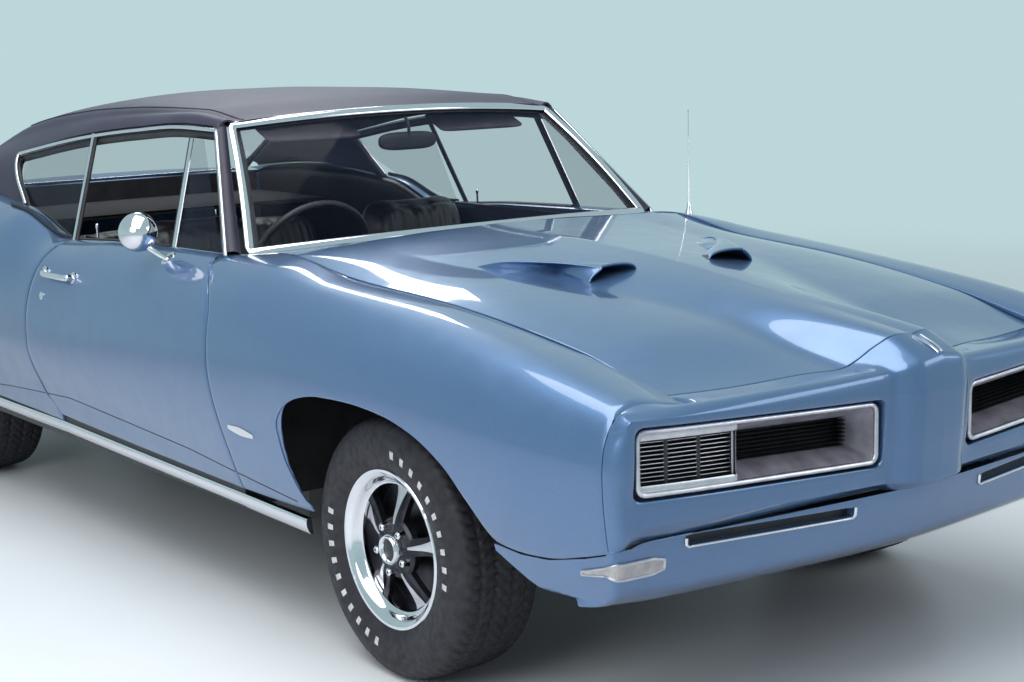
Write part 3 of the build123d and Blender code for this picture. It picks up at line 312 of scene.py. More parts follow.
def swept(path, profile, closed=False, up=(0, 0, 1)):
    """A profile carried along a path. The profile's first value goes sideways from the path,
    square to it and to up, and its second goes along what is then square to both."""
    path = np.asarray(path, float)
    if closed:
        along = np.roll(path, -1, 0) - np.roll(path, 1, 0)
    else:
        along = np.gradient(path, axis=0)
    along /= np.linalg.norm(along, axis=1, keepdims=True)
    up = np.broadcast_to(np.asarray(up, float), path.shape)
    side = np.cross(along, up)
    side /= np.linalg.norm(side, axis=1, keepdims=True)
    over = np.cross(side, along)
    profile = np.asarray(profile, float)
    return path[:, None] + profile[None, :, :1] * side[:, None] + profile[None, :, 1:] * over[:, None]


def oval(width, height, count=12):
    """Profile of an ellipse."""
    angle = np.linspace(0, 2 * math.pi, count, endpoint=False)
    return join(np.cos(angle) * width / 2, np.sin(angle) * height / 2)


def capped(rings):
    """Closes a tube by drawing one more ring at each end into that end's middle."""
    first, last = (rings[[k]].mean(1, keepdims=True) + 0 * rings[[k]] for k in (0, -1))
    return np.concatenate([first, rings, last])


def rod(mesh, path, width, height=None, up=(0, 0, 1), closed=False, count=12):
    """Adds a rod of oval section with closed ends."""
    height = height or width
    rings = swept(path, oval(width, height, count), closed=closed, up=up)
    return mesh.tube(rings if closed else capped(rings), close_rows=closed)


def rods(mesh, path, *size, **settings):
    """The same rod on both sides of the car."""
    for _, mirror in SIDES:
        rod(mesh, path * (mirror, 1, 1), *size, **settings)


def disc_form(mesh, profile, centre, axis, count=32):
    """Round form: a profile of distance along the axis and radius, turned about the axis."""
    axis = unit(np.asarray(axis, float))
    first = unit(np.cross(axis, (0, 0, 1) if abs(axis[2]) < 0.9 else (0, 1, 0)))
    second = np.cross(axis, first)
    angle = np.linspace(0, 2 * math.pi, count, endpoint=False)
    spoke = np.cos(angle)[:, None] * first + np.sin(angle)[:, None] * second
    profile = np.asarray(profile, float)
    return mesh.tube(np.asarray(centre) + profile[:, None, :1] * axis + profile[:, None, 1:] * spoke[None])


print("mesh tools ready")

# %% [markdown]
# ## Finishes
# Each finish is a node material in object coordinates, so a pattern stays on its piece in any
# view. An image could carry the detail instead, but noise in space needs no unwrapping and keeps
# its real scale. Most finishes add a colour change, a roughness change or a small relief, or several of these.

# %% Finish tools


def finish(name, color, metallic=0.0, roughness=0.5, **sockets):
    """A Principled material with plain values on its own sockets."""
    material = bpy.data.materials.new(name)
    material.use_nodes = True
    shader = material.node_tree.nodes["Principled BSDF"]
    shader.inputs["Base Color"].default_value = (*color, 1)
    shader.inputs["Metallic"].default_value = metallic
    shader.inputs["Roughness"].default_value = roughness
    for socket, value in sockets.items():
        shader.inputs[socket.replace("_", " ")].default_value = value
    material.diffuse_color = (*color, 1)
    return material


GRAINS = {"noise": ("TexNoise", 0), "cells": ("TexVoronoi", 0), "waves": ("TexWave", 1)}


def shader_node(tree, kind, inputs=(), **settings):
    """A shader node with its settings. Each input gets a plain value or is fed by an output."""
    made = tree.nodes.new(f"ShaderNode{kind}")
    for name, value in settings.items():
        setattr(made, name, value)
    for socket, value in dict(inputs).items():
        if isinstance(value, bpy.types.NodeSocket):
            tree.links.new(value, made.inputs[socket])
        else:
            made.inputs[socket].default_value = value
    return made


def grain(material, kind, scale, detail=None, stretch=(1, 1, 1)):
    """A noise, cell or wave texture in object coordinates, as a grey value."""
    tree = material.node_tree
    place = tree.nodes.get("place") or shader_node(tree, "TexCoord", name="place")
    mapping = shader_node(tree, "Mapping", {"Vector": place.outputs["Object"], "Scale": stretch})
    values = {"Vector": mapping.outputs["Vector"], "Scale": scale}
    if detail is not None:
        values["Detail"] = detail
    texture, output = GRAINS[kind]
    return shader_node(tree, texture, values).outputs[output]


def tint(material, source, low, high, start=0.3, end=0.7):
    """Colour that goes from low to high as the grey value goes from start to end."""
    tree = material.node_tree
    ramp = shader_node(tree, "ValToRGB", {"Fac": source})
    for element, place, color in zip(ramp.color_ramp.elements, (start, end), (low, high)):
        element.position = place
        element.color = (*color, 1)
    tree.links.new(ramp.outputs["Color"], tree.nodes["Principled BSDF"].inputs["Base Color"])


def vary(material, source, socket, low, high, start=0.3, end=0.7):
    """A shader value that goes from low to high as the grey value goes from start to end."""
    tree = material.node_tree
    ranged = shader_node(tree, "MapRange", {
        "Value": source, "From Min": start, "From Max": end, "To Min": low, "To Max": high,
    })
    tree.links.new(ranged.outputs["Result"], tree.nodes["Principled BSDF"].inputs[socket])


def relief(material, source, height, strength=1.0):
    """Small relief of that height in metres, added to any relief made before it."""
    tree = material.node_tree
    normal = tree.nodes["Principled BSDF"].inputs["Normal"]
    values = {"Height": source, "Distance": height, "Strength": strength}
    if normal.is_linked:
        values["Normal"] = normal.links[0].from_socket
    tree.links.new(shader_node(tree, "Bump", values).outputs["Normal"], normal)


def varied(name, color, metallic, roughness, steps, **sockets):
    """A finish and its variations. Each step holds what it changes, the grain that drives the change
    as kind, scale and detail, and the values that the change goes between."""
    material = finish(name, color, metallic, roughness, **sockets)
    for change, source, *values in steps:
        change(material, grain(material, *source), *values)
    return material


# %% Finishes of the car
def satin_black(name="satin_black", color=(0.012, 0.012, 0.015), roughness=0.45):
    """Black paint or moulded plastic with a fine grain, up to 2.2 times as pale."""
    return varied(name, color, 0.0, roughness, [
        (tint, ("noise", 18, 6), color, tuple(value * 2.2 for value in color)),
        (relief, ("noise", 700, 2), 0.0003, 0.3),
    ])


def window_glass():
    """Thin clear glass: nearly all of it lets light through, and its edge-on part mirrors more."""
    glass = finish("window_glass", (0.025, 0.035, 0.07), 0.0, 0.02, Specular_IOR_Level=0.3)
    edge_on = shader_node(glass.node_tree, "LayerWeight", {"Blend": 0.25})
    vary(glass, edge_on.outputs["Fresnel"], "Alpha", 0.04, 0.22, 0.0, 1.0)
    return glass


def bare_metal(name, color, roughness):
    """Cast or rolled metal with stains, from 0.55 to 1.25 times its colour."""
    return varied(name, color, 0.85, roughness, [
        (tint, ("noise", 26, 8), tuple(v * 0.55 for v in color), tuple(v * 1.25 for v in color)),
        (relief, ("noise", 320, 4), 0.0004, 0.35),
    ])


def lens(name, low, high, ribs):
    """Coloured lamp lens with moulded ribs."""
    return varied(name, high, 0.0, 0.12, [
        (tint, ("noise", 30, 3), low, high),
        (relief, ("waves", ribs), 0.001, 0.6),
    ], Coat_Weight=1.0, Coat_Roughness=0.03)


# Metallic paint under clear coat: fine flakes in its colour, faint polishing marks
PAINT = varied("body_paint", (0.1, 0.2, 0.38), 0.6, 0.36, [
    (tint, ("noise", 900, 1), (0.068, 0.148, 0.305), (0.106, 0.198, 0.370)),
    (vary, ("noise", 14, 4), "Roughness", 0.3, 0.4),
    (relief, ("noise", 1400, 0), 0.00002, 0.25),
], Coat_Weight=1.0, Coat_Roughness=0.04)
# Grained vinyl cloth with a soft sheen, a little paler where it is worn
VINYL = varied("roof_vinyl", (0.026, 0.02, 0.042), 0.0, 0.5, [
    (tint, ("noise", 9, 6), (0.011, 0.008, 0.022), (0.026, 0.019, 0.042)),
    (relief, ("cells", 420), 0.0006, 0.5),
    (relief, ("noise", 160, 3), 0.0005, 0.35),
], Sheen_Weight=0.1, Sheen_Tint=(0.6, 0.65, 1.0, 1))
# Polished chrome with very faint haze
CHROME = varied("bright_chrome", (0.72, 0.72, 0.76), 1.0, 0.07, [(vary, ("noise", 60, 5), "Roughness", 0.045, 0.13)])
# Brushed bright trim, duller than chrome
SILVER = varied("satin_silver", (0.6, 0.58, 0.62), 1.0, 0.32, [
    (vary, ("noise", 40, 4, (1, 12, 30)), "Roughness", 0.25, 0.42),
    (tint, ("noise", 25, 3), (0.52, 0.5, 0.55), (0.68, 0.66, 0.7)),
])
BLACK = satin_black()
CHASSIS = satin_black("chassis_black", (0.02, 0.02, 0.022), 0.6)
# Black rubber with dust in its grain
RUBBER = varied("tyre_rubber", (0.018, 0.017, 0.022), 0.0, 0.6, [
    (tint, ("noise", 22, 8), (0.009, 0.008, 0.012), (0.023, 0.020, 0.028)),
    (vary, ("noise", 50, 4), "Roughness", 0.5, 0.75),
    (relief, ("noise", 900, 3), 0.0004, 0.4),
])
GLASS = window_glass()
# Black vinyl with a leather-like grain
SEAT = varied("seat_vinyl", (0.012, 0.012, 0.015), 0.0, 0.38, [
    (tint, ("noise", 30, 5), (0.009, 0.009, 0.012), (0.022, 0.021, 0.026)),
    (relief, ("cells", 520), 0.0005, 0.5),
])
IRON = bare_metal("cast_iron", (0.09, 0.09, 0.095), 0.6)
STEEL = bare_metal("aluminised_steel", (0.4, 0.39, 0.38), 0.38)
# Looped floor carpet
CARPET = varied("carpet", (0.013, 0.013, 0.016), 0.0, 0.95, [
    (tint, ("noise", 240, 3), (0.008, 0.008, 0.01), (0.028, 0.028, 0.034)),
    (relief, ("cells", 360), 0.002, 0.8),
], Sheen_Weight=0.2)
AMBER = lens("turn_lens", (0.34, 0.33, 0.34), (0.56, 0.53, 0.52), 90)
RED = lens("tail_lens", (0.25, 0.004, 0.006), (0.5, 0.01, 0.014), 120)
SPOKE_GREY = bare_metal("spoke_grey", (0.045, 0.045, 0.055), 0.34)
WALL_GREY = satin_black("grille_grey", (0.15, 0.145, 0.17), 0.45)
HEADLINER = satin_black("headliner", (0.05, 0.045, 0.055), 0.8)
WHITE_RUBBER = varied("white_rubber", (0.62, 0.62, 0.64), 0.0, 0.6, [
    (tint, ("noise", 60, 4), (0.5, 0.5, 0.52), (0.72, 0.72, 0.74)),
])
print("finishes", len(bpy.data.materials))

# %% [markdown]
# ## The parts that keep their CAD shape
# Frame, axle, exhaust and the like already have the right form. Only their finish is given here.

# %% Finishes on the CAD nodes
# A slot's first finish is the one that its CAD nodes get
SLOT_FINISHES = {
    "paint": [PAINT],
    "vinyl": [VINYL],
    "chassis_black": [CHASSIS],
    "chrome": [CHROME, SILVER, WALL_GREY],
    "glass": [GLASS],
    "tyre": [RUBBER, WHITE_RUBBER],
    "rally_wheel": [SPOKE_GREY],
    "iron": [IRON],
    "steel": [STEEL],
    "trim_black": [BLACK, CARPET, HEADLINER],
    "seat_vinyl": [SEAT],
    "amber_lens": [AMBER],
    "red_lens": [RED],
}
for row in frame["record"]["subparts"]:
    node = NODES[row["node"]]
    node.data.materials.clear()
    node.data.materials.append(SLOT_FINISHES[row["material_slot"]][0])
NODES["floor_pan"].data.materials[0] = CARPET
# The rocker panel is black as painted shade, so that the gap below the doors reads dark
NODES["rockers"].data.materials[0] = BLACK
NODES["rear_shelf"].data.materials[0] = BLACK
print("dressed", len(NODES), "nodes")


def dress(piece, material, body="body", replaces=()):
    """Gives a new piece its finish, slot and body, and hides the CAD nodes that it stands for."""
    piece.data.materials.clear()
    piece.data.materials.append(material)
    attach(piece, body)
    if replaces:
        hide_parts(*replaces)
    print(piece.name, len(piece.data.polygons), "faces")
    return piece


def put(mesh, name, material, body="body", replaces=(), **form):
    """Makes the object of a mesh builder and dresses it."""
    return dress(mesh.object(name, **form), material, body, replaces)


# %% [markdown]
# ## Light, floor and backdrop
# A car studio has one large soft source over the car and pale walls that fill the rest.
# Small lamps would give hard spots on paint, so wide area lights are used. The wall behind is the
# world's own colour, shown to the camera, to gloss and to glass, and never added to the light.

# %% Stage
STAGE_LIGHTS = [
    # place, aim, width, depth, watts
    ((-1.2, -1.0, 4.6), (0, 0.2, 0.5), 3.2, 6.5, 235),
    ((-5.5, -3.0, 3.0), (0, -0.5, 0.6), 3.0, 2.4, 74),
    ((3.5, -5.5, 3.4), (0, -1.0, 0.6), 2.6, 2.2, 45),
    ((1.7, 3.5, 3.6), (-0.5, -1.0, 0.9), 2.0, 0.5, 28),
]
for place, aim, width, depth, watts in STAGE_LIGHTS:
    lamp = bpy.data.lights.new("softbox", "AREA")
    lamp.shape = "RECTANGLE"
    lamp.size, lamp.size_y = width, depth
    lamp.energy = watts
    holder = bpy.data.objects.new("softbox", lamp)
    way = Vector(aim) - Vector(place)
    holder.matrix_world = Matrix.Translation(place) @ way.to_track_quat("-Z", "Y").to_matrix().to_4x4()
    holder.visible_camera = False
    bpy.context.scene.collection.objects.link(holder)


def seen_directly(tree):
    """One for rays from the camera, off gloss and through glass, and zero for rays of light."""
    rays = shader_node(tree, "LightPath").outputs
    seen = rays["Is Camera Ray"]
    for kind in ("Is Glossy Ray", "Is Transmission Ray"):
        seen = shader_node(tree, "Math", {0: seen, 1: rays[kind]}, operation="MAXIMUM").outputs[0]
    return seen


WALL_HIGH, WALL_LOW = (0.44, 0.59, 0.62), (0.505, 0.68, 0.705)
WALL_FADE_Z = 0.35
FILL_LIGHT, FILL_STRENGTH = (0.86, 0.9, 1.0), 0.34
world = bpy.data.worlds.new("studio")
world.use_nodes = True
bpy.context.scene.world = world
tree = world.node_tree
way = shader_node(tree, "TexCoord").outputs["Generated"]
height = shader_node(tree, "SeparateXYZ", {0: way}).outputs["Z"]
fade = {6: height, 7: (0, 0, 0), 8: (WALL_FADE_Z,) * 3, 9: WALL_LOW, 10: WALL_HIGH}
wall = shader_node(tree, "MapRange", fade, data_type="FLOAT_VECTOR").outputs[1]
fill = (*(FILL_STRENGTH * v for v in FILL_LIGHT), 1)
choice = shader_node(tree, "Mix", {0: seen_directly(tree), 6: fill, 7: wall}, data_type="RGBA")
tree.links.new(choice.outputs[2], tree.nodes["Background"].inputs["Color"])


def floor_finish():
    """Pale floor near the car. With distance it turns into the wall's own colour, shown as it is to
    the camera, to gloss and through glass."""
    pale = finish("floor", (0.8, 0.82, 0.86), 0.0, 0.35, Specular_IOR_Level=0.25)
    tree = pale.node_tree
    tint(pale, grain(pale, "noise", 0.6, 3), (0.79, 0.85, 0.88), (0.87, 0.92, 0.94))
    place = shader_node(tree, "TexCoord").outputs["Object"]
    away = shader_node(tree, "VectorMath", {0: place}, operation="LENGTH").outputs["Value"]
    fade = {"Value": away, "From Min": FLOOR_FADE[0], "From Max": FLOOR_FADE[1]}
    far = shader_node(tree, "MapRange", fade, interpolation_type="SMOOTHSTEP").outputs["Result"]
    share = shader_node(tree, "Math", {0: seen_directly(tree), 1: far}, operation="MULTIPLY").outputs[0]
    glow = shader_node(tree, "Emission", {"Color": (*WALL_LOW, 1)}).outputs[0]
    shader = tree.nodes["Principled BSDF"].outputs[0]
    mixed = shader_node(tree, "MixShader", {"Fac": share, 1: shader, 2: glow}).outputs[0]
    tree.links.new(mixed, tree.nodes["Material Output"].inputs["Surface"])
    return pale


FLOOR_FADE = (2.6, 9.0)
FLOOR_HALF = 60.0
floor_mesh = bpy.data.meshes.new("studio_floor")
corners = [(x * FLOOR_HALF, y * FLOOR_HALF, 0) for x, y in ((-1, -1), (1, -1), (1, 1), (-1, 1))]
floor_mesh.from_pydata(corners, [], [(0, 1, 2, 3)])
floor = bpy.data.objects.new("studio_floor", floor_mesh)
bpy.context.scene.collection.objects.link(floor)
floor_mesh.materials.append(floor_finish())
print("lamps", len(STAGE_LIGHTS))

# %% [markdown]
# ## Body side
# From the fender's tip to the tail the side is one flowing surface: a flat top edge, a soft
# shoulder, a widest line half-way down, a crease and a tuck to the sill. The sheet is worked out
# from six lines along the car. Fenders, doors and quarter panels are then cut from it along their
# gaps, so that light runs across the gaps without a break.

# %% Side surface
# y, then x and z of the edge, shoulder, upper side, widest line, crease and sill, in millimetres
SIDE = np.array([
    (-2400, 645, 772, 785, 795, 850, 772, 885, 620, 862, 450, 845, 372),
    (-2050, 660, 846, 792, 852, 868, 812, 918, 640, 885, 440, 862, 362),
    (-1584, 677, 905, 800, 898, 878, 848, 934, 660, 892, 420, 870, 345),
    (-1210, 695, 928, 806, 926, 880, 872, 942, 668, 896, 405, 876, 340),
    (-900, 707, 972, 805, 950, 874, 898, 945, 664, 900, 400, 880, 338),
    (-640, 738, 952, 803, 950, 873, 890, 946, 655, 902, 414, 883, 340),
    (0, 735, 938, 800, 936, 869, 880, 948, 627, 905, 436, 886, 346),
    (420, 735, 916, 802, 916, 882, 866, 950, 602, 905, 436, 886, 352),
    (736, 740, 996, 812, 980, 897, 905, 950, 596, 906, 436, 887, 355),
    (1261, 735, 1032, 812, 1000, 892, 930, 946, 630, 910, 440, 890, 360),
    (1900, 690, 985, 784, 980, 862, 920, 918, 650, 888, 450, 862, 380),
    (2420, 676, 934, 752, 934, 824, 900, 866, 680, 848, 486, 832, 430),
]) / 1000
SIDE_KNOTS = [0, 0.131, 0.25, 0.57, 0.885, 1]
HALF_WIDTH = 0.9495


def side_at(y, t):
    """The side's point: the six lines flow along y, and a natural spline goes down through them by t."""
    y, t = np.broadcast_arrays(y, t)
    control = flow(SIDE[:, 0], SIDE[:, 1:], y).reshape(*y.shape, 6, 2)
    xz = (spline_weights(SIDE_KNOTS, t)[..., None] * control).sum(-2)
    return join(np.minimum(xz[..., 0], HALF_WIDTH), y, xz[..., 1])


def side_down(y, z):
    """How far down the side a height is, found by halving the span thirty times for all at once."""
    y, z = np.broadcast_arrays(y, z)
    low, high = np.zeros(y.shape), np.ones(y.shape)
    for _ in range(30):
        middle = (low + high) / 2
        above = side_at(y, middle)[..., 2] > z
        low, high = np.where(above, middle, low), np.where(above, high, middle)
    return (low + high) / 2


RELAX_STEPS = 500


def side_patch(front, rear, lower, columns, rows):
    """A piece of the side between two gap lines and a lower line, all given as y and z. The lines
    are turned into y and t, a Coons patch fills them, each inner point is moved to the mean of its
    four neighbours until the grid is even, and the side surface lifts the patch."""
    s, v = np.linspace(0, 1, columns), np.linspace(0, 1, rows)
    edges = [traced(line, at) for line, at in ((front, v), (rear, v), (lower, s))]
    front, rear, bottom = (join(e[:, 0], side_down(e[:, 0], e[:, 1])) for e in edges)
    front[0, 1] = rear[0, 1] = 0
    run = np.maximum.accumulate(bottom[:, 0])
    run = (run - run[0]) / (run[-1] - run[0])
    top_y = front[0, 0] + (rear[0, 0] - front[0, 0]) * (0.6 * run + 0.4 * s)
    top = join(top_y, 0 * s)
    patch = coons(top, bottom, front, rear, (top_y - top_y[0]) / (top_y[-1] - top_y[0]), v)
    for _ in range(RELAX_STEPS):
        patch[1:-1, 1:-1] = (patch[2:, 1:-1] + patch[:-2, 1:-1] + patch[1:-1, 2:] + patch[1:-1, :-2]) / 4
    return side_at(patch[..., 0], patch[..., 1].clip(0, 1))


DOOR_FRONT_LINE = np.array([
    (-630, 1010), (-654, 955), (-820, 816), (-848, 640), (-873, 528), (-893, 430), (-903, 352),
]) / 1000
DOOR_REAR_LINE = np.array([(350, 1010), (352, 920), (366, 560), (345, 440), (262, 374)]) / 1000
DOOR_FOOT = [(-0.8985, 0.352), (0.2575, 0.374)]
HALF_GAP = np.array([0.0045, 0])
FRONT_ARCH = np.array([
    (-1962, 524), (-1893, 591), (-1782, 647), (-1665, 674), (-1542, 682),
    (-1400, 676), (-1290, 652), (-1212, 606), (-1184, 560), (-1188, 497), (-1215, 420), (-1262, 350),
]) / 1000
REAR_ARCH = np.array([
    (935, 359), (888, 420), (868, 490), (878, 552), (930, 602), (1020, 632), (1140, 645), (1270, 647),
    (1400, 638), (1520, 612), (1600, 568), (1650, 505), (1690, 430), (1745, 384),
]) / 1000
FENDER_FOOT = np.array([
    (-2398, 496.5), (-2326, 474.5), (-2210, 446.5), (-2120, 440), (-2050, 446),
]) / 1000
VALANCE_FOOT = np.array([(-2403, 376), (-2360, 370), (-2190, 350), (-2120, 378), (-2032, 425)]) / 1000
print("side at the door", side_at(0.0, 0.57).round(3), "half way down at", side_down(0.0, 0.627).round(3))

# %% Fenders and quarter panels
FENDER_FRONT = [(-2.398, 0.78), (-2.398, 0.4965)]
FENDER_SILL = [(-1.1, 0.344), (-0.9075, 0.342)]
QUARTER_FOOT = [(0.345, 0.44), (0.262, 0.374), (0.262, 0.354)]
QUARTER_REAR = [(2.42, 0.94), (2.42, 0.434)]
QUARTER_SILL, QUARTER_TAIL = [(0.2665, 0.352), (0.6, 0.355)], [(2.0, 0.392), (2.42, 0.43)]
fender_lower = np.vstack([FENDER_FOOT, FRONT_ARCH, FENDER_SILL])
fender_grid = side_patch(FENDER_FRONT, DOOR_FRONT_LINE[1:] - HALF_GAP, fender_lower, columns=112, rows=42)
fender_hem = hem(fender_grid, (1, 0, 0), depth=(0.012, 0.003, 0.02, 0.004))
fenders = Mesh().grid(fender_hem, away=(0.4, -1.6, 0.5)).mirrored()
put(fenders, "fender_skins", PAINT, replaces=("fenders",), thickness=SHEET)

quarter_grid = side_patch(
    np.vstack([DOOR_REAR_LINE[1:-1], QUARTER_FOOT]) + HALF_GAP,
    QUARTER_REAR,
    np.vstack([QUARTER_SILL, REAR_ARCH, QUARTER_TAIL]),
    columns=140,
    rows=42,
)
quarter_hem = hem(quarter_grid, (1, 0, 0), depth=(0.012, 0.012, 0.02, 0.016))
quarters = Mesh().grid(quarter_hem, away=(0.4, 1.4, 0.5)).mirrored()
put(quarters, "quarter_skins", PAINT, replaces=("quarter_panels",), thickness=SHEET)

# %% Doors
# Height and x of the trim's plane
DOOR_TRIM_LINE = [(0.80, 0.778), (0.93, 0.742)]
DOOR_SHRINK_Y, DOOR_SHRINK_Z = 0.965, 0.98
DOOR_LOWEST_Z = 0.379


def door_shell():
    """The outer sheet with rolled edges, walls that run in to the trim's plane, and that plane. The
    inner rim is the outer one shrunk towards its middle by a factor along y and another along z."""
    outer = side_patch(DOOR_FRONT_LINE[1:] + HALF_GAP, DOOR_REAR_LINE[1:] - HALF_GAP, DOOR_FOOT, 76, 44)
    rolled = hem(outer, (1, 0, 0), radius=0.003, depth=(0.006, 0.006, 0.012, 0.01))
    centre_y, centre_z = rolled[..., 1].mean(), rolled[..., 2].mean()
    inner = rolled.copy()
    inner[..., 1] = centre_y + (inner[..., 1] - centre_y) * DOOR_SHRINK_Y
    inner[..., 2] = np.minimum(centre_z + (inner[..., 2] - centre_z) * DOOR_SHRINK_Z, rolled[..., 2] - 0.004)
    inner[..., 2] = np.maximum(inner[..., 2], DOOR_LOWEST_Z)
    inner[..., 0] = np.interp(inner[..., 2], *zip(*DOOR_TRIM_LINE))
    middle = (0.83, centre_y, centre_z)
    mesh = Mesh().grid(rolled, away=middle).grid(inner, away=middle)
    return mesh.grid(np.stack([edge_of(rolled), edge_of(inner)]), close_columns=True, away=middle)


for side, mirror in SIDES:
    shell = door_shell()
    if mirror < 0:
        shell.points = [points * (-1, 1, 1) for points in shell.points]
        shell.faces = [faces[:, ::-1] for faces in shell.faces]
    put(shell, f"door_skin_{side}", PAINT, body=f"door_{side}", replaces=(f"door_{side}",))

# %% [markdown]
# ## Roof
# The vinyl top covers the roof and the wide pillars beside the rear glass. One sheet carries both:
# across the car it goes from the middle over the crown and the drip rail down to the quarter
# panel, and rows along the car bend to follow the windshield's head, the side window's rear edge
# and the rear glass's head. Cells that fall in a window are left out.

# %% Roof surface
# y, then x and z of rail, crown, inner edge and quarter line, and z at the middle, in millimetres
TOP = np.array([
    (-398, 626, 1296, 578, 1308, 520, 1313, 300, 1322, 1325),
    (-200, 638, 1302, 588, 1330, 530, 1342, 300, 1356, 1360),
    (100, 644, 1284, 592, 1322, 532, 1346, 300, 1369, 1375),
    (450, 656, 1252, 604, 1304, 540, 1336, 300, 1366, 1374),
    (800, 675, 1200, 614, 1266, 550, 1308, 300, 1345, 1354),
    (1050, 690, 1158, 620, 1228, 556, 1270, 300, 1307, 1318),
    (1261, 704, 1118, 626, 1180, 562, 1210, 300, 1250, 1262),
    (1600, 704, 1048, 640, 1086, 584, 1052, 300, 1090, 1110),
    (1730, 700, 1014, 662, 1028, 604, 1004, 300, 1040, 1050),
]) / 1000
RAIL, INNER = 0.28, 0.62
TOP_KNOTS = [0, RAIL, 0.46, INNER, 0.78, 1]


def top_at(y, w):
    """Half of the roof: w is 0 at the quarter's edge, 0.28 at the rail and 1 at the middle."""
    y, w = np.broadcast_arrays(y, w)
    row = flow(TOP[:, 0], TOP[:, 1:], y)
    foot = side_at(y, 0.0)[..., [0, 2]] + (-0.002, 0.001)
    middle = join(0 * y, row[..., 8])
    control = np.stack([foot, row[..., 0:2], row[..., 2:4], row[..., 4:6], row[..., 6:8], middle], -2)
    xz = (spline_weights(TOP_KNOTS, w)[..., None] * control).sum(-2)
    return join(xz[..., 0], y, xz[..., 1])


HEADER = [(0, -0.394), (RAIL, -0.394), (1, -0.436)]
WINDOW_REAR = [(0, 0.80), (0.10, 0.885), (0.20, 0.93), (RAIL, 0.945), (1, 0.955)]
GLASS_HEAD = [(0, 1.09), (INNER, 1.092), (1, 1.07)]
TAIL_OF_TOP = [(0, 1.728), (1, 1.728)]


def key_row(line, w):
    """The y of a key line, given as pairs of w and y, at each w."""
    return flow([p[0] for p in line], [p[1] for p in line], w)[..., 0]


across = np.r_[np.linspace(0, RAIL, 16)[:-1], np.linspace(RAIL, INNER, 22)[:-1], np.linspace(INNER, 1, 22)]
lines = [key_row(line, across) for line in (HEADER, WINDOW_REAR, GLASS_HEAD, TAIL_OF_TOP)]
counts = (50, 17, 36)
blocks = [a + (b - a) * np.arange(n)[:, None] / n for a, b, n in zip(lines, lines[1:], counts)]
top_y = np.vstack([*blocks, lines[-1:]])
top_points = top_at(top_y, across[None] + 0 * top_y)
cell_row = np.arange(len(top_y) - 1)[:, None]
cell_w = ((across[:-1] + across[1:]) / 2)[None]
in_side_window = (cell_row < counts[0]) & (cell_w < RAIL)
in_rear_glass = (cell_row >= counts[0] + counts[1]) & (cell_w > INNER)
top = Mesh().grid(top_points, keep=~(in_side_window | in_rear_glass), away=(0, 0.5, 0.5)).mirrored()
put(top, "roof_skin", VINYL, replaces=("roof",), sharp=40, thickness=0.006)

# %% Roof seams and inner lining
SEAM_W = 0.585
seam_y = np.linspace(-0.392, 1.075, 90)
seams = Mesh()
rods(seams, top_at(seam_y, SEAM_W) + (0, 0, 0.0006), 0.009, 0.0036, count=8)
put(seams, "roof_seams", VINYL)
lining_w = np.linspace(RAIL + 0.03, 1, 24)
lining_y = np.linspace(-0.37, 1.06, 40)
LINING_DROP = 0.022
lining = top_at(lining_y[:, None], lining_w[None]) - (0, 0, LINING_DROP)
put(Mesh().grid(lining, away=(0, 0.3, 3)).mirrored(), "roof_lining", HEADLINER, thickness=0.004)

# %% [markdown]
# ## Glass
# Curved glass is a sheet between two bowed edges. A flat pane would mirror the room in one piece,
# so the sheet bows outwards a little between its edges as well.

# %% Windshield and rear glass


def glass_sheet(foot, head, bow, count=40):
    """Sheet between two crescents, each given by half width, middle y, side y, middle z, side z.
    Across, y and z go from the middle value to the side one with the square of the place, and the
    sheet swells by a half sine wave between foot and head."""
    u = np.linspace(-1, 1, count)[None]
    v = np.linspace(0, 1, count)[:, None]
    low, high = (
        join(half * u, y + (y_side - y) * u**2, z + (z_side - z) * u**2)
        for half, y, y_side, z, z_side in (foot, head)
    )
    sheet = low * (1 - v)[..., None] + high * v[..., None]
    return sheet + np.sin(math.pi * v)[..., None] * bow


windshield_grid = glass_sheet(
    (0.728, -0.797, -0.716, 0.975, 0.958), (0.588, -0.438, -0.392, 1.317, 1.291), (0, -0.010, 0.010)
)
windshield = Mesh().grid(windshield_grid, away=(0, 0, 0.9))
put(windshield, "windshield_glass", GLASS, replaces=("windshield",), thickness=0.005)
rear_grid = glass_sheet(
    (0.592, 1.690, 1.640, 0.994, 0.998), (0.546, 1.070, 1.092, 1.311, 1.257), (0, 0.008, 0.010)
)
backlight = Mesh().grid(rear_grid, away=(0, 1, 0.9))
put(backlight, "rear_window_glass", GLASS, replaces=("rear_glass",), thickness=0.005)

# %% [markdown]
# ## Bright window trim
# Stainless strips frame the windows. Each is a shallow oval carried along the edge that it covers,
# with a black rubber line on the glass side.

# %% Window trim

bright = Mesh()
rim_line = edge_of(windshield_grid)
WINDSHIELD_UP, REAR_UP = (0, -0.7, 0.7), (0, 0.45, 0.9)
rod(bright, rim_line + (0, -0.006, 0.006), 0.026, 0.010, up=WINDSHIELD_UP, closed=True)
rod(bright, edge_of(rear_grid) + (0, 0.004, 0.003), 0.020, 0.007, up=REAR_UP, closed=True)
DRIP_W = RAIL - 0.02
rail = top_at(np.linspace(-0.394, 0.938, 70), DRIP_W)
tail_w = np.linspace(DRIP_W, 0.0, 24)
rail_tail = top_at(key_row(WINDOW_REAR, tail_w), tail_w)
drip = np.vstack([rail, rail_tail[1:]]) + (0.004, 0, 0)
PILLAR_LINE_FOOT = np.array([0.792, -0.700, 0.955])
pillar_line = PILLAR_LINE_FOOT + (drip[0] - PILLAR_LINE_FOOT) * np.linspace(0, 1, 14)[:-1, None]
drip = np.vstack([pillar_line, drip])
rods(bright, drip, 0.012, 0.013)
put(bright, "window_trim", CHROME)
dark = Mesh()
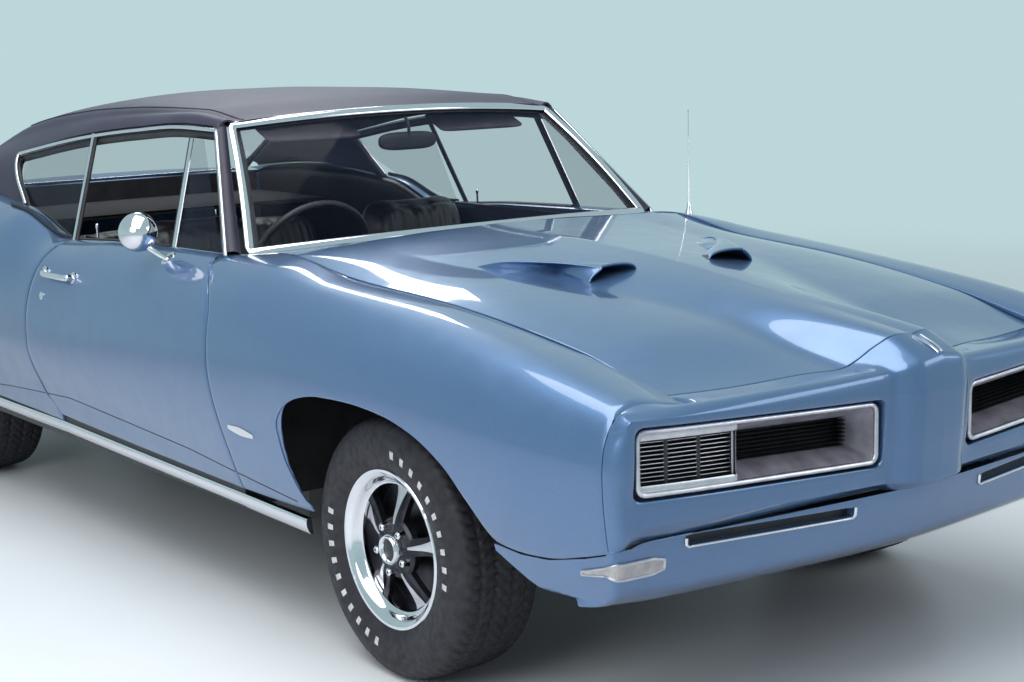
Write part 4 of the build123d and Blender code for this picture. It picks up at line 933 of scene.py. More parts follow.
rods(dark, drip - (0.012, 0, 0.018), 0.016, 0.026, count=10)
rod(dark, rim_line * (0.972, 1, 1) + (0, 0.004, -0.002), 0.030, 0.008, up=WINDSHIELD_UP, closed=True)
put(dark, "window_rubber", BLACK)


# %% Windshield pillars
PILLAR_FOOT, PILLAR_HEAD = np.array([0.768, -0.690, 0.950]), np.array([0.612, -0.372, 1.292])
PILLAR_WIDTHS = (0.052, 0.038)


def pillar_grid():
    """Vinyl-covered pillar: a round section that shrinks from foot to head along a straight line."""
    v = np.linspace(0, 1, 24)[:, None]
    path = PILLAR_FOOT + (PILLAR_HEAD - PILLAR_FOOT) * v
    rings = swept(path, oval(1, 1, 20), up=(0.75, -0.35, 0))
    size = PILLAR_WIDTHS[0] + (PILLAR_WIDTHS[1] - PILLAR_WIDTHS[0]) * v[..., None]
    return path[:, None] + (rings - path[:, None]) * size


pillars = Mesh()
for _, mirror in SIDES:
    pillars.tube(pillar_grid() * (mirror, 1, 1))
put(pillars, "windshield_pillars", VINYL)

# %% [markdown]
# ## Hood
# The hood is flat at its sides and stands up in the middle to a long ridge. Its flanks narrow
# towards the nose, so the front edge runs straight from the corner and then sweeps forward.
# The sheet is worked out from four lines along the car, and its rim is rolled over.

# %% Hood
# y, then x and z of the side, the flank, the slack before the crease, the outer and the inner
# crease, and z at the middle
HOOD = np.array([
    (-2460, 645, 756, 390, 764, 228, 775, 152, 786, 76, 848, 852),
    (-2311, 645, 780, 390, 792, 240, 803, 165, 812, 84, 866, 872),
    (-2050, 654, 846, 425, 865, 272, 866, 198, 868, 92, 896, 905),
    (-1584, 671, 905, 500, 924, 378, 926, 322, 929, 150, 948, 959),
    (-1210, 688, 928, 552, 950, 454, 954, 410, 958, 218, 972, 983),
    (-921, 700, 970, 575, 981, 488, 984, 448, 985, 258, 992, 999),
]) / 1000
HOOD_KNOTS = [0, 0.40, 0.62, 0.73, 0.87, 1]
HOOD_FRONT = [
    (0, -2.311), (0.40, -2.358), (0.68, -2.397), (0.74, -2.406), (0.80, -2.420), (0.86, -2.439), (0.92, -2.448),
    (1, -2.451),
]
HOOD_REAR_Y = -0.9245
HOOD_SIDE_GAP = 0.0065


def hood_at(r, u):
    """r goes from the rear edge to the front one, and u from the side to the middle."""
    r, u = np.broadcast_arrays(r, u)
    y = HOOD_REAR_Y + (key_row(HOOD_FRONT, u) - HOOD_REAR_Y) * r
    row = flow(HOOD[:, 0], HOOD[:, 1:], y)
    middle = join(0 * y, row[..., 10])
    side = row[..., 0:2] - (HOOD_SIDE_GAP, 0)
    control = np.stack([side, row[..., 2:4], row[..., 4:6], row[..., 6:8], row[..., 8:10], middle], -2)
    xz = (spline_weights(HOOD_KNOTS, u)[..., None] * control).sum(-2)
    return join(xz[..., 0], y, xz[..., 1])


hood_u = np.r_[np.linspace(0, 0.6, 22)[:-1], np.linspace(0.6, 1, 36)]
half = hood_at(np.linspace(0, 1, 92)[:, None], hood_u[None])
hood_grid = np.concatenate([half, half[:, -2::-1] * (-1, 1, 1)], 1)
hood = Mesh().grid(hem(hood_grid, (0, 0, 1), 0.0025, (0.008, 0.014, 0.016, 0.016)), away=(0, -1.6, 0))
put(hood, "hood_skin", PAINT, body="hood", replaces=("hood",), sharp=12, thickness=SHEET)

# %% [markdown]
# ## Nose
# The nose is one moulded piece in body colour: a ledge ahead of the hood, a rounded front with a
# beak in the middle and a deep opening for the grille on each side. The sheet is a grid whose lines
# run exactly along the openings, so they can be left out, and each hole gets rounded corners and a
# wall that runs inwards.

# %% Nose sheet
# x, y at the top, z at the top, y at mid height and y at the bottom, in millimetres
NOSE = np.array([
    (0, -2553, 812, -2549, -2532),
    (60, -2552, 809, -2547, -2530),
    (92, -2541, 801, -2535, -2517),
    (132, -2510, 789, -2505, -2486),
    (300, -2498, 785, -2493, -2475),
    (700, -2470, 784, -2465, -2448),
    (850, -2450, 784, -2447, -2430),
]) / 1000
NOSE_MIDDLE_Z, NOSE_LOW_Z = 0.654, 0.513
GRILLE_X, GRILLE_Z = (0.140, 0.842), (0.584, 0.750)
GRILLE_SLOPE, SLOT_SLOPE = 0.045, 0.035
CORNER_DROP = 0.018
SEAM_Y = -2.4025
HOOD_CORNER_X = 0.641


def nose_y(x, z):
    """The front face: y at three heights flows across the car and then from height to height."""
    x, z = np.broadcast_arrays(x, z)
    row = flow(NOSE[:, 0], NOSE[:, 1:], abs(x))
    upper = row[..., 2] + (row[..., 0] - row[..., 2]) * ((z - NOSE_MIDDLE_Z) / (0.752 - NOSE_MIDDLE_Z)).clip(0, 1.2)
    down = ((NOSE_MIDDLE_Z - z) / (NOSE_MIDDLE_Z - NOSE_LOW_Z)).clip(0, 1) ** 1.4
    lower = row[..., 2] + (row[..., 3] - row[..., 2]) * down
    return np.where(z > NOSE_MIDDLE_Z, upper, lower)


def tilt(x, slope=GRILLE_SLOPE):
    """Openings climb towards the sides: slope times the distance beyond x = 0.5."""
    return slope * (abs(np.asarray(x, float)) - 0.5)


def corner_drop(x):
    """The lower edge dips at the corner: a square law over the last 60 mm."""
    return CORNER_DROP * ((abs(x) - 0.79) / 0.06).clip(0, 1) ** 2


def nose_rear(x):
    """Where the nose meets the hood's front edge and, outside that, the fender's."""
    edge = hood_at(1.0, np.linspace(1, 0, 400))
    hood_edge = np.stack([np.interp(x, edge[:, 0], edge[:, k]) for k in (1, 2)], -1) + (-0.0065, -0.001)
    t = np.linspace(0, 0.3, 200)
    fender_edge = side_at(SEAM_Y, t)
    z = np.interp(x, fender_edge[:, 0], fender_edge[:, 2])
    return np.where((x < HOOD_CORNER_X)[:, None], hood_edge, join(SEAM_Y + 0 * z, z))


nose_x = np.unique(np.r_[
    np.linspace(0, 0.136, 26), GRILLE_X, np.linspace(0.15, 0.60, 40), HOOD_CORNER_X - 0.003, 0.648,
    np.linspace(0.655, 0.836, 17), 0.85,
].round(5))
nose_row = flow(NOSE[:, 0], NOSE[:, 1:], nose_x)
rear = nose_rear(nose_x)
top_yz = nose_row[:, :2]
ledge = top_yz + join(0 * nose_x + 0.030, 0.004 + 0.012 * (1 - nose_x / 0.14).clip(0, 1))
ledge[:, 0] = np.minimum(ledge[:, 0], rear[:, 0] - 0.004)
roll = top_yz + (0.007, -0.006)
NOSE_HEIGHTS = ((0.760, 1), (GRILLE_Z[1], 1), (0.66, 1), (GRILLE_Z[0], 1), (0.542, 0.5), (NOSE_LOW_Z, 0))
face = [join(nose_y(nose_x, h), h + share * tilt(nose_x)) for h, share in NOSE_HEIGHTS]
face[-1] += join(0 * nose_x + 0.016, -corner_drop(nose_x))
face[-2] += join(0 * nose_x - 0.005, -corner_drop(nose_x))
HOLE_V = (0.40, 0.84)
stations = [0, 0.22, 0.30, 0.36, HOLE_V[0], 0.62, HOLE_V[1], 0.95, 1]
table = np.stack([rear, ledge, roll, *face])
nose_v = np.unique(np.r_[
    np.linspace(0, 0.36, 18), np.linspace(0.36, HOLE_V[0], 4), np.linspace(*HOLE_V, 16), np.linspace(HOLE_V[1], 1, 8),
].round(5))
yz = flow(stations, table.reshape(len(stations), -1), nose_v).reshape(len(nose_v), -1, 2)
front_part = np.concatenate([np.broadcast_to(nose_x[None, :, None], (*yz.shape[:2], 1)), yz], -1)
inner_column = front_part[:, -1]
side_t = side_down(SEAM_Y, np.minimum(inner_column[:, 2], 0.748))
side_column = side_at(SEAM_Y, side_t)
turn = np.linspace(0, math.pi / 2, 12)[1:]
wrap = join(np.sin(turn), 1 - np.cos(turn), turn / turn[-1])
corner_part = inner_column[:, None] + (side_column - inner_column)[:, None] * wrap[None]
nose_half = np.concatenate([front_part, corner_part], 1)


def cells_in(rows, columns, row_span, column_span):
    """True for the cells of a grid whose middle lies in both spans."""
    (row_in, column_in) = (
        ((line[:-1] + line[1:]) / 2 > span[0]) & ((line[:-1] + line[1:]) / 2 < span[1])
        for line, span in ((rows, row_span), (columns, column_span))
    )
    return row_in[:, None] & column_in[None]


hole = cells_in(nose_v, nose_x, HOLE_V, GRILLE_X)
hole = np.concatenate([hole, np.zeros((len(hole), len(turn)), bool)], 1)


def rounded_hole(mesh, loop, radius, depth, roll=0.004, slope=0.0):
    """Wall of an opening. Its corners become quarter circles in the sheet's own face, then the rim
    rolls over a small radius and runs straight in along +y. All this is done with the slope of the
    opening taken out, and the slope is put back at the end."""
    loop = loop - join(0 * loop[:, 0], 0 * loop[:, 0], tilt(loop[:, 0], slope))
    low, high = loop.min(0), loop.max(0)
    nearest = np.minimum(loop - low, high - loop)[:, [0, 2]]
    along = nearest.max(1)
    angle = math.pi / 4 * (1 + np.minimum(along / radius, 1))
    major = np.where(along < radius, radius - radius * np.cos(angle), along)
    minor = np.where(along < radius, radius - radius * np.sin(angle), 0)
    top_or_bottom = nearest[:, 0] >= nearest[:, 1]
    new = np.where(top_or_bottom[:, None], join(major, minor), join(minor, major))
    middle = ((low + high) / 2)[[0, 2]]
    inwards = np.sign(middle - loop[:, [0, 2]])
    rounded = loop.copy()
    rounded[:, [0, 2]] += (new - nearest) * inwards
    rings = [loop, rounded]
    size = (high - low)[[0, 2]] / 2
    for inset, drop in ((0.3 * roll, 0.08 * roll), (0.7 * roll, 0.3 * roll), (roll, roll), (roll, depth)):
        ring = rounded.copy()
        ring[:, [0, 2]] = middle + (rounded[:, [0, 2]] - middle) * (1 - inset / size)
        ring[:, 1] += drop
        rings.append(ring)
    rings = np.stack(rings)
    rings[..., 2] += tilt(rings[..., 0], slope)
    mesh.grid(rings, close_columns=True)
    face = mesh.faces[-1] - (mesh.count - len(mesh.points[-1]))
    points = mesh.points[-1]
    normal = np.cross(points[face[:, 2]] - points[face[:, 0]], points[face[:, 3]] - points[face[:, 1]])
    inside = points[face].mean(1) - np.array([middle[0], 0, middle[1]])
    if (normal * inside * (1, 0, 1))[len(face) // 2 :].sum() > 0:
        mesh.faces[-1] = mesh.faces[-1][:, ::-1]
    return rings[-1]


def loop_at(grid, rows, columns):
    """The closed rim of a block of a grid, between two rows and two columns."""
    return edge_of(grid[rows[0] : rows[1] + 1, columns[0] : columns[1] + 1])


def place_of(values, wanted):
    """Numbers of the grid lines nearest to the wanted places."""
    return [int(abs(values - w).argmin()) for w in wanted]


nose_mesh = Mesh().grid(nose_half, keep=~hole, away=(0.4, -2.2, 0.62))
grille_loop = loop_at(nose_half, place_of(nose_v, HOLE_V), place_of(nose_x, GRILLE_X))
rounded_hole(nose_mesh, grille_loop, 0.022, 0.045, roll=0.006, slope=GRILLE_SLOPE)
bottom = nose_half[-1]
turned_in = np.stack([bottom, bottom + (0, 0.004, -0.0015), bottom + (0, 0.05, -0.0015)])
nose_mesh.grid(turned_in, away=(0.4, -2.4, 0.55))
put(nose_mesh.mirrored(), "nose_skin", PAINT, replaces=("nose_bumper",), sharp=30, thickness=SHEET)
print("grille opening", (grille_loop.max(0) - grille_loop.min(0)).round(3))

# %% [markdown]
# ## Grilles
# Behind each opening sits a satin frame. Its outer part is the lamp door: thin bright-edged blades
# and two dividers. Its inner part is set back, with grey walls and dark blades. Every blade is a
# short profile carried across along the nose's own curve.

# %% Grille frames and blades
FRAME_X, FRAME_Z, SPLIT_X = (0.156, 0.830), (0.596, 0.740), 0.572
INNER_X, LAMP_DOOR_X = (FRAME_X[0], SPLIT_X), (SPLIT_X, FRAME_X[1])
ACROSS_FACE = (0, 1, 0)


def rounded_path(x, z, radius, inset=0.0, back=0.0, count=10, points=180):
    """Closed rounded rectangle that follows the nose's face at mid height, set back along +y. Four
    quarter circles are joined, and points are spread evenly along the whole."""
    (x0, x1), (z0, z1) = within(x, inset), within(z, inset)
    (left, right), (low, high) = within((x0, x1), radius), within((z0, z1), radius)
    corners = ((right, high), (left, high), (left, low), (right, low))
    quarter = np.linspace(0, math.pi / 2, count)
    arcs = [
        join(cx + radius * np.cos(quarter + k * math.pi / 2), cz + radius * np.sin(quarter + k * math.pi / 2))
        for k, (cx, cz) in enumerate(corners)
    ]
    ring = np.vstack([*arcs, arcs[0][:1]])
    step = np.r_[0, np.cumsum(np.linalg.norm(np.diff(ring, axis=0), axis=1))]
    fine = np.linspace(0, step[-1], points + 1)[:-1]
    x, z = (np.interp(fine, step, ring[:, k]) for k in (0, 1))
    return join(x, nose_y(x, NOSE_MIDDLE_Z) + back, z + tilt(x))


def bar(mesh, x, z, back, height, depth, count=24):
    """Blade across the car: an oval carried from one x to the other at one height, following the nose."""
    at = np.linspace(*x, count)
    path = join(at, nose_y(at, NOSE_MIDDLE_Z) + back, z + tilt(at))
    return rod(mesh, path, depth, height, count=8)


frames, blades, bright_edges, walls, backs = (Mesh() for _ in range(5))
rod(frames, rounded_path(FRAME_X, FRAME_Z, 0.018, 0.006, 0.012), 0.013, 0.016, up=ACROSS_FACE, closed=True)
inner_line = rounded_path(within(INNER_X, 0.012, 0), within(FRAME_Z, 0.012), 0.012, 0.0, 0.02)
rod(frames, inner_line, 0.006, 0.006, up=ACROSS_FACE, closed=True, count=8)
for z in within(FRAME_Z, 0.015):
    bar(frames, within(LAMP_DOOR_X, -0.004, 0.008), z, 0.012, 0.020, 0.006)
BLADE_SIZE, EDGE_SIZE = (0.0032, 0.022), (0.0022, 0.0022)
for z in np.linspace(*within(FRAME_Z, 0.031), 10):
    bar(blades, within(LAMP_DOOR_X, 0.004, 0.012), z, 0.034, *BLADE_SIZE)
    bar(bright_edges, within(LAMP_DOOR_X, 0.004, 0.013), z, 0.0235, *EDGE_SIZE)
    bar(blades, within(INNER_X, 0.02, 0.008), z, 0.078, *BLADE_SIZE)
upright_z = np.linspace(*within(FRAME_Z, 0.012), 6)
for x in (SPLIT_X + 0.088, SPLIT_X + 0.172):
    place = (x, nose_y(x, NOSE_MIDDLE_Z) + 0.024, tilt(x))
    rod(blades, upright_z[:, None] * (0, 0, 1) + place, 0.006, 0.012, up=(1, 0, 0), count=8)
# How far each ring of the recess is drawn in and set back
RECESS = ((0, 0.010), (0.012, 0.028), (0.026, 0.06), (0.032, 0.088))
recess_x, recess_z = within(INNER_X, 0.010, 0), within(FRAME_Z, 0.010)
walls.grid(np.stack([rounded_path(recess_x, recess_z, 0.012, *ring) for ring in RECESS]), close_columns=True)
plate_x, plate_z = np.linspace(*within(FRAME_X, -0.02, -0.016), 30), np.linspace(*within(FRAME_Z, -0.016), 8)
plate_y = nose_y(plate_x, NOSE_MIDDLE_Z) + np.where(plate_x < SPLIT_X, 0.094, 0.05)
plate = join(plate_x[None], plate_y[None], plate_z[:, None] + tilt(plate_x))
backs.grid(plate, away=(0.4, 0, 0.66))
for mesh, name, material, replaced, thickness in (
    (frames, "grille_frames", SILVER, (), 0),
    (bright_edges, "grille_blade_edges", SILVER, (), 0),
    (blades, "grille_blades", BLACK, ("grilles",), 0),
    (walls, "grille_walls", WALL_GREY, (), 0.001),
    (backs, "grille_backs", BLACK, (), 0.002),
):
    put(mesh.mirrored(), name, material, replaces=replaced, thickness=thickness)

# %% [markdown]
# ## Valance
# Under the nose a painted panel turns in and back to the underside. It has a wide slot for air on
# each side and a lamp near each corner that wraps round to the side.

# %% Valance
# x, y at the top, y and z half-way, y and z at the bottom, in millimetres
VALANCE = np.array([
    (0, -2496, -2476, 404, -2302, 318),
    (90, -2492, -2472, 404, -2300, 318),
    (400, -2464, -2452, 408, -2296, 324),
    (700, -2434, -2424, 414, -2290, 336),
    (830, -2424, -2410, 424, -2300, 352),
]) / 1000
SLOT_X, SLOT_Z = (0.215, 0.690), (0.476, 0.5035)
LAMP_X, LAMP_Z, LAMP_REAR = 0.742, (0.436, 0.468), -2.312
VALANCE_TOP_Z = 0.5085


def valance_y(x, z):
    """The front face: from the top's y to the half-way one with the height, and the top's beyond."""
    row = flow(VALANCE[:, 0], VALANCE[:, 1:], abs(np.asarray(x, float)))
    part = ((VALANCE_TOP_Z - z) / (VALANCE_TOP_Z - row[..., 2])).clip(0, 1)
    return row[..., 0] + (row[..., 1] - row[..., 0]) * part**1.5


valance_x = np.unique(np.r_[
    np.linspace(0, 0.2, 10), SLOT_X, np.linspace(0.24, 0.67, 16), np.linspace(0.705, LAMP_X, 4),
    np.linspace(0.75, 0.83, 9),
].round(5))
valance_row = flow(VALANCE[:, 0], VALANCE[:, 1:], valance_x)
VALANCE_ROWS = 51
VALANCE_HEIGHTS = ((VALANCE_TOP_Z, 0), (SLOT_Z[1], 1), (SLOT_Z[0], 1), (LAMP_Z[1], 0.8), (LAMP_Z[0], 0.4))
levels = []
for h, share in VALANCE_HEIGHTS:
    z = h + share * tilt(valance_x, SLOT_SLOPE).clip(-0.02, 0.0065) - corner_drop(valance_x) * (h > LAMP_Z[1])
    levels.append(join(valance_y(valance_x, z), z))
low_front, low_rear = valance_row[:, 1:3] + (0.004, -0.012), valance_row[:, 3:5]
under = [
    low_front, low_front * 0.72 + low_rear * 0.28 + (0, -0.016), low_front * 0.4 + low_rear * 0.6 + (0, -0.014),
    low_rear,
]
SLOT_V, LAMP_V = (0.06, 0.22), (0.26, 0.44)
stations = [0, *SLOT_V, *LAMP_V, 0.6, 0.75, 0.88, 1]
rows = np.linspace(0, 1, VALANCE_ROWS)
yz = flow(stations, np.stack([*levels, *under]).reshape(len(stations), -1), rows).reshape(VALANCE_ROWS, -1, 2)
valance_half = np.concatenate([np.broadcast_to(valance_x[None, :, None], (VALANCE_ROWS, len(valance_x), 1)), yz], -1)
inner_column = valance_half[:, -1]
fall = inner_column[:, 2]
side_y = np.maximum(SEAM_Y, inner_column[:, 1] + 0.02)
side_column = side_at(side_y, side_down(side_y, fall.clip(0.376)))
side_column[:, 1:] = join(side_y, fall)
corner_part = inner_column[:, None] + (side_column - inner_column)[:, None] * wrap[None]
part = np.maximum.accumulate(fall[0] - fall) / (fall[0] - fall.min())
back_y = side_y[:, None] + (VALANCE_FOOT[-1, 0] - side_y[:, None]) * np.linspace(0, 1, 31)[None, 1:]
upper_z = np.interp(back_y, *FENDER_FOOT.T) - 0.005
back_z = upper_z + (np.interp(back_y, *VALANCE_FOOT.T) - upper_z) * part[:, None]
back_part = side_at(back_y, side_down(back_y, back_z))
valance_half = np.concatenate([valance_half, corner_part, back_part], 1)
SIDE_COLUMNS_FROM = 0.88
columns = np.r_[valance_x, np.linspace(0.84, 0.87, len(turn)), np.linspace(SIDE_COLUMNS_FROM, 1, back_y.shape[1])]
valance = Mesh().grid(valance_half, keep=~cells_in(rows, columns, SLOT_V, SLOT_X), away=(0.4, -2.2, 0.45))
slot_loop = loop_at(valance_half, place_of(rows, SLOT_V), place_of(columns, SLOT_X))
rounded_hole(valance, slot_loop, 0.009, 0.05, roll=0.003, slope=SLOT_SLOPE)
foot = valance_half[-1, len(valance_x) :]
valance.grid(np.stack([foot, foot - (0.012, 0, -0.004)]), away=(0.8, -2.2, 0.6))
put(valance.mirrored(), "valance_skin", PAINT, replaces=("front_valance",), sharp=30, thickness=SHEET)
lips, slot_shade_sheet, lenses, rims = (Mesh() for _ in range(4))
lip_x = np.r_[
    np.full(5, SLOT_X[0] + 0.002), np.linspace(*within(SLOT_X, 0.008), 30), np.full(4, SLOT_X[1] - 0.002)
]
lip_z = np.r_[
    np.linspace(SLOT_Z[1] - 0.002, SLOT_Z[0] + 0.006, 5), np.full(30, SLOT_Z[0]),
    np.linspace(*within(SLOT_Z, 0.006, 0.008), 4),
]
lip_z = lip_z + tilt(lip_x, SLOT_SLOPE)
lip_path = join(lip_x, valance_y(lip_x, lip_z) - 0.002, lip_z)
rod(lips, lip_path, 0.008, 0.009, up=ACROSS_FACE, count=10)
# A black sheet just behind the slot's lip is painted shade, so that the opening reads dark
dark_x = np.linspace(*within(SLOT_X, -0.01), 20)
dark_z = np.linspace(*within(SLOT_Z, -0.02, -0.004), 5)[:, None] + tilt(dark_x, SLOT_SLOPE)
dark_y = valance_y(dark_x, 0.45) + 0.016
slot_shade_sheet.grid(join(dark_x[None], dark_y[None], dark_z), away=(0.4, 0, 0.45))
lamp_first_row, lamp_last_row = place_of(rows, LAMP_V)
reaches = abs(valance_half[lamp_first_row, :, 1] - LAMP_REAR) + 9 * (columns < SIDE_COLUMNS_FROM)
lens_grid = valance_half[lamp_first_row : lamp_last_row + 1, place_of(columns, (LAMP_X,))[0] : reaches.argmin() + 1]
# How high the lamp is along its length, as a share of the space that it has
narrowing = np.interp(np.linspace(0, 1, lens_grid.shape[1]), [0, 0.12, 0.55, 1], [0.55, 1, 1, 0.35])[None, :, None]
lens_middle = lens_grid.mean(0, keepdims=True)
lens_grid = lens_middle + (lens_grid - lens_middle) * narrowing
LAMP_OUTWARD = (0.5, -1, 0)
lens_face = lens_grid + 0.0035 * normals(lens_grid, LAMP_OUTWARD)
lenses.grid(hem(lens_face, LAMP_OUTWARD, 0.002, (0.010,) * 4), away=(0.7, -2.2, 0.45))
rod(rims, edge_of(lens_face), 0.006, 0.005, up=ACROSS_FACE, closed=True, count=8)
for mesh, name, material, replaced, thickness in (
    (lips, "slot_lips", CHROME, (), 0),
    (slot_shade_sheet, "slot_painted_shade", BLACK, (), 0.002),
    (lenses, "turn_lamp_lenses", AMBER, ("turn_lamps",), 0),
    (rims, "turn_lamp_rims", SILVER, (), 0),
):
    put(mesh.mirrored(), name, material, replaces=replaced, thickness=thickness)
print("slot", (slot_loop.max(0) - slot_loop.min(0)).round(3))

# %% [markdown]
# ## Small bright parts on the sides
# A bright molding covers the sill, a thin black rod along the lower crease is painted shade, and
# each door has a pull handle and a key lock. All of them lie on the side surface, so their paths
# come from it.

# %% Sill moldings and crease lines


def along_side(y, z, out=0.0):
    """Points on the side at given y and z, moved outwards."""
    y, z = np.broadcast_arrays(y, z)
    return side_at(y, side_down(y, z)) + (out, 0, 0)


MOLDING_LINE = [(-1.2, 0.334), (-0.92, 0.338), (-0.36, 0.344), (0.26, 0.352), (0.65, 0.350), (0.86, 0.350)]
MOLDING_PROFILE = np.array([
    (-0.004, 0.022), (0.003, 0.020), (0.0055, 0.012), (0.0045, 0.0), (0.0, -0.012),
    (-0.008, -0.022), (-0.014, -0.022), (-0.012, 0.0), (-0.010, 0.022),
])
MOLDING_X, MOLDING_DROP = 0.884, 0.021
molding_y = np.linspace(-1.236, 0.868, 120)
molding_z = np.interp(molding_y, *zip(*MOLDING_LINE)) - MOLDING_DROP
molding_path = join(0 * molding_y + MOLDING_X, molding_y, molding_z)
moldings = Mesh()
for _, mirror in SIDES:
    moldings.tube(capped(swept(molding_path, MOLDING_PROFILE)) * (mirror, 1, 1))
put(moldings, "sill_moldings", CHROME)
CREASE = np.array([(-1.205, 0.369), (-0.928, 0.394), (-0.631, 0.417), (0.156, 0.445), (0.635, 0.413), (0.85, 0.395)])
CREASE_SPANS = {"fender": (-1.19, -0.905), "door": (-0.893, 0.335), "quarter": (0.35, 0.84)}
# Black rods along the lower crease: painted shade, the dark line that the fold would cast
for name, span in CREASE_SPANS.items():
    at = np.linspace(*span, 50)
    line = along_side(at, np.interp(at, *CREASE.T))
    for side, mirror in SIDES:
        strip = rod(Mesh(), line * (mirror, 1, 1), 0.0022, 0.0036, count=6)
        put(strip, f"{name}_crease_{side}", BLACK, body=f"door_{side}" if name == "door" else "body")

# %% Fender plates
plates = Mesh()
PLATE_Y, PLATE_Z = -0.985, 0.528
PLATE_HALF_LENGTH, PLATE_HALF_HEIGHT = 0.062, 0.011
u, v = np.linspace(-1, 1, 21)[:, None], np.linspace(-1, 1, 7)[None]
half_height = PLATE_HALF_HEIGHT * (1 - 0.55 * abs(u) ** 1.5)
sheet = along_side(PLATE_Y + PLATE_HALF_LENGTH * u + 0 * v, PLATE_Z + half_height * v + 0.004 * u, 0.003)
for _, mirror in SIDES:
    plates.grid(hem(sheet, (1, 0, 0), 0.001, (0.003,) * 4) * (mirror, 1, 1), away=(0, PLATE_Y, PLATE_Z))
put(plates, "fender_plates", CHROME)

# %% Door handles, locks and knobs
HANDLE_Y, HANDLE_Z, HANDLE_HALF = 0.185, 0.832, 0.112
HANDLE_FOOT = [(-0.006, 0), (-0.006, 0.019), (0.003, 0.019), (0.006, 0.014), (0.006, 0)]
BUTTON = [(-0.012, 0), (-0.012, 0.011), (0.012, 0.011), (0.016, 0.008), (0.016, 0)]
KEY_LOCK = [(-0.004, 0), (-0.004, 0.013), (0.002, 0.013), (0.004, 0.010), (0.0025, 0.007), (0.0025, 0)]
LOCK_KNOB = [(-0.012, 0), (-0.012, 0.004), (0.018, 0.004), (0.021, 0.006), (0.031, 0.006), (0.034, 0.003), (0.034, 0)]
# profile, y, z, distance out and how far the axis tips up
HANDLE_DISCS = [
    (HANDLE_FOOT, 0.082, HANDLE_Z, 0, 0.25),
    (HANDLE_FOOT, 0.288, HANDLE_Z, 0, 0.25),
    (BUTTON, 0.083, HANDLE_Z, 0.012, 0.25),
    (KEY_LOCK, 0.262, 0.762, 0, 0.2),
]
along = np.linspace(-1, 1, 41)
stand = 0.030 * (1 - abs(along) ** 6) - 0.004
grip_path = along_side(HANDLE_Y + HANDLE_HALF * along, HANDLE_Z) + stand[:, None] * (1, 0, 0)
for side, mirror in SIDES:
    way, door = (mirror, 1, 1), f"door_{side}"
    handle = rod(Mesh(), grip_path * way, 0.012, 0.020, count=14)
    for profile, y, z, out, tip in HANDLE_DISCS:
        disc_form(handle, profile, along_side(y, z, out) * way, (mirror, 0, tip))
    put(handle, f"handle_{side}", CHROME, body=door, replaces=(f"door_handle_{side}",))
    knob = disc_form(Mesh(), LOCK_KNOB, (mirror * 0.752, 0.21, 0.945), (0, 0, 1), 16)
    put(knob, f"lock_knob_{side}", CHROME, body=door)

# %% Door mirror and antenna
MIRROR_PLACE = (-0.890, -0.372, 1.006)
MIRROR_SHELL = [
    (-0.050, 0), (-0.049, 0.012), (-0.044, 0.026), (-0.032, 0.042), (-0.014, 0.053), (0.004, 0.057),
    (0.014, 0.0575), (0.018, 0.056), (0.019, 0.052), (0.014, 0.050), (0.012, 0),
]
MIRROR_ARM = [(-0.880, -0.388, 0.972), (-0.868, -0.400, 0.958), (-0.850, -0.412, 0.942), (-0.832, -0.420, 0.928)]
MIRROR_FOOT = [(-0.006, 0), (-0.006, 0.030), (0.002, 0.029), (0.007, 0.018), (0.009, 0)]
mirror_piece = disc_form(Mesh(), MIRROR_SHELL, MIRROR_PLACE, (0.12, 1, 0.05), 48)
rod(mirror_piece, traced(MIRROR_ARM, np.linspace(0, 1, 16)), 0.016, 0.013, up=(0, 1, 0.2), count=14)
disc_form(mirror_piece, MIRROR_FOOT, (-0.829, -0.421, 0.925), (-0.75, 0, 0.66))
put(mirror_piece, "mirror_head", CHROME, body="door_right", replaces=("door_mirror",))
MAST_FOOT, MAST_TIP = np.array([0.785, -0.885, 0.951]), np.array([0.785, -0.885, 1.290])
MAST = [
    (0, 0), (0, 0.017), (0.008, 0.016), (0.016, 0.011), (0.028, 0.008), (0.040, 0.006), (0.046, 0.0025),
    (0.335, 0.0012), (0.335, 0),
]
MAST_BALL = [(-0.004, 0), (-0.002, 0.0028), (0.002, 0.0028), (0.004, 0)]
mast = disc_form(Mesh(), MAST, MAST_FOOT, MAST_TIP - MAST_FOOT, 20)
disc_form(mast, MAST_BALL, MAST_TIP - (0, 0, 0.003), (0, 0, 1), 12)
put(mast, "antenna_mast", CHROME, replaces=("antenna",))

# %% [markdown]
# ## Side windows
# The door's front corner has a small vent window in a bright frame. Behind the door glass, which
# is wound down here, a bright bar holds the front edge of the fixed quarter glass.

# %% Vent windows and division bars


def pane(corners, count=16, bow=0.006):
    """Four-cornered sheet that swells outwards by a product of two half sine waves."""
    a, b, c, d = (np.asarray(p, float) for p in corners)
    u, v = np.linspace(0, 1, count)[None, :, None], np.linspace(0, 1, count)[:, None, None]
    flat = (1 - v) * ((1 - u) * a + u * b) + v * ((1 - u) * d + u * c)
    return flat + (np.sin(math.pi * u) * np.sin(math.pi * v)) * (bow, 0, 0)


GLASS_X = [(0.90, 0.786), (0.93, 0.775), (1.26, 0.653)]


def on_glass(y, z):
    """Point on the side glass: x falls evenly with height."""
    return np.array([np.interp(z, *zip(*GLASS_X)), y, z])


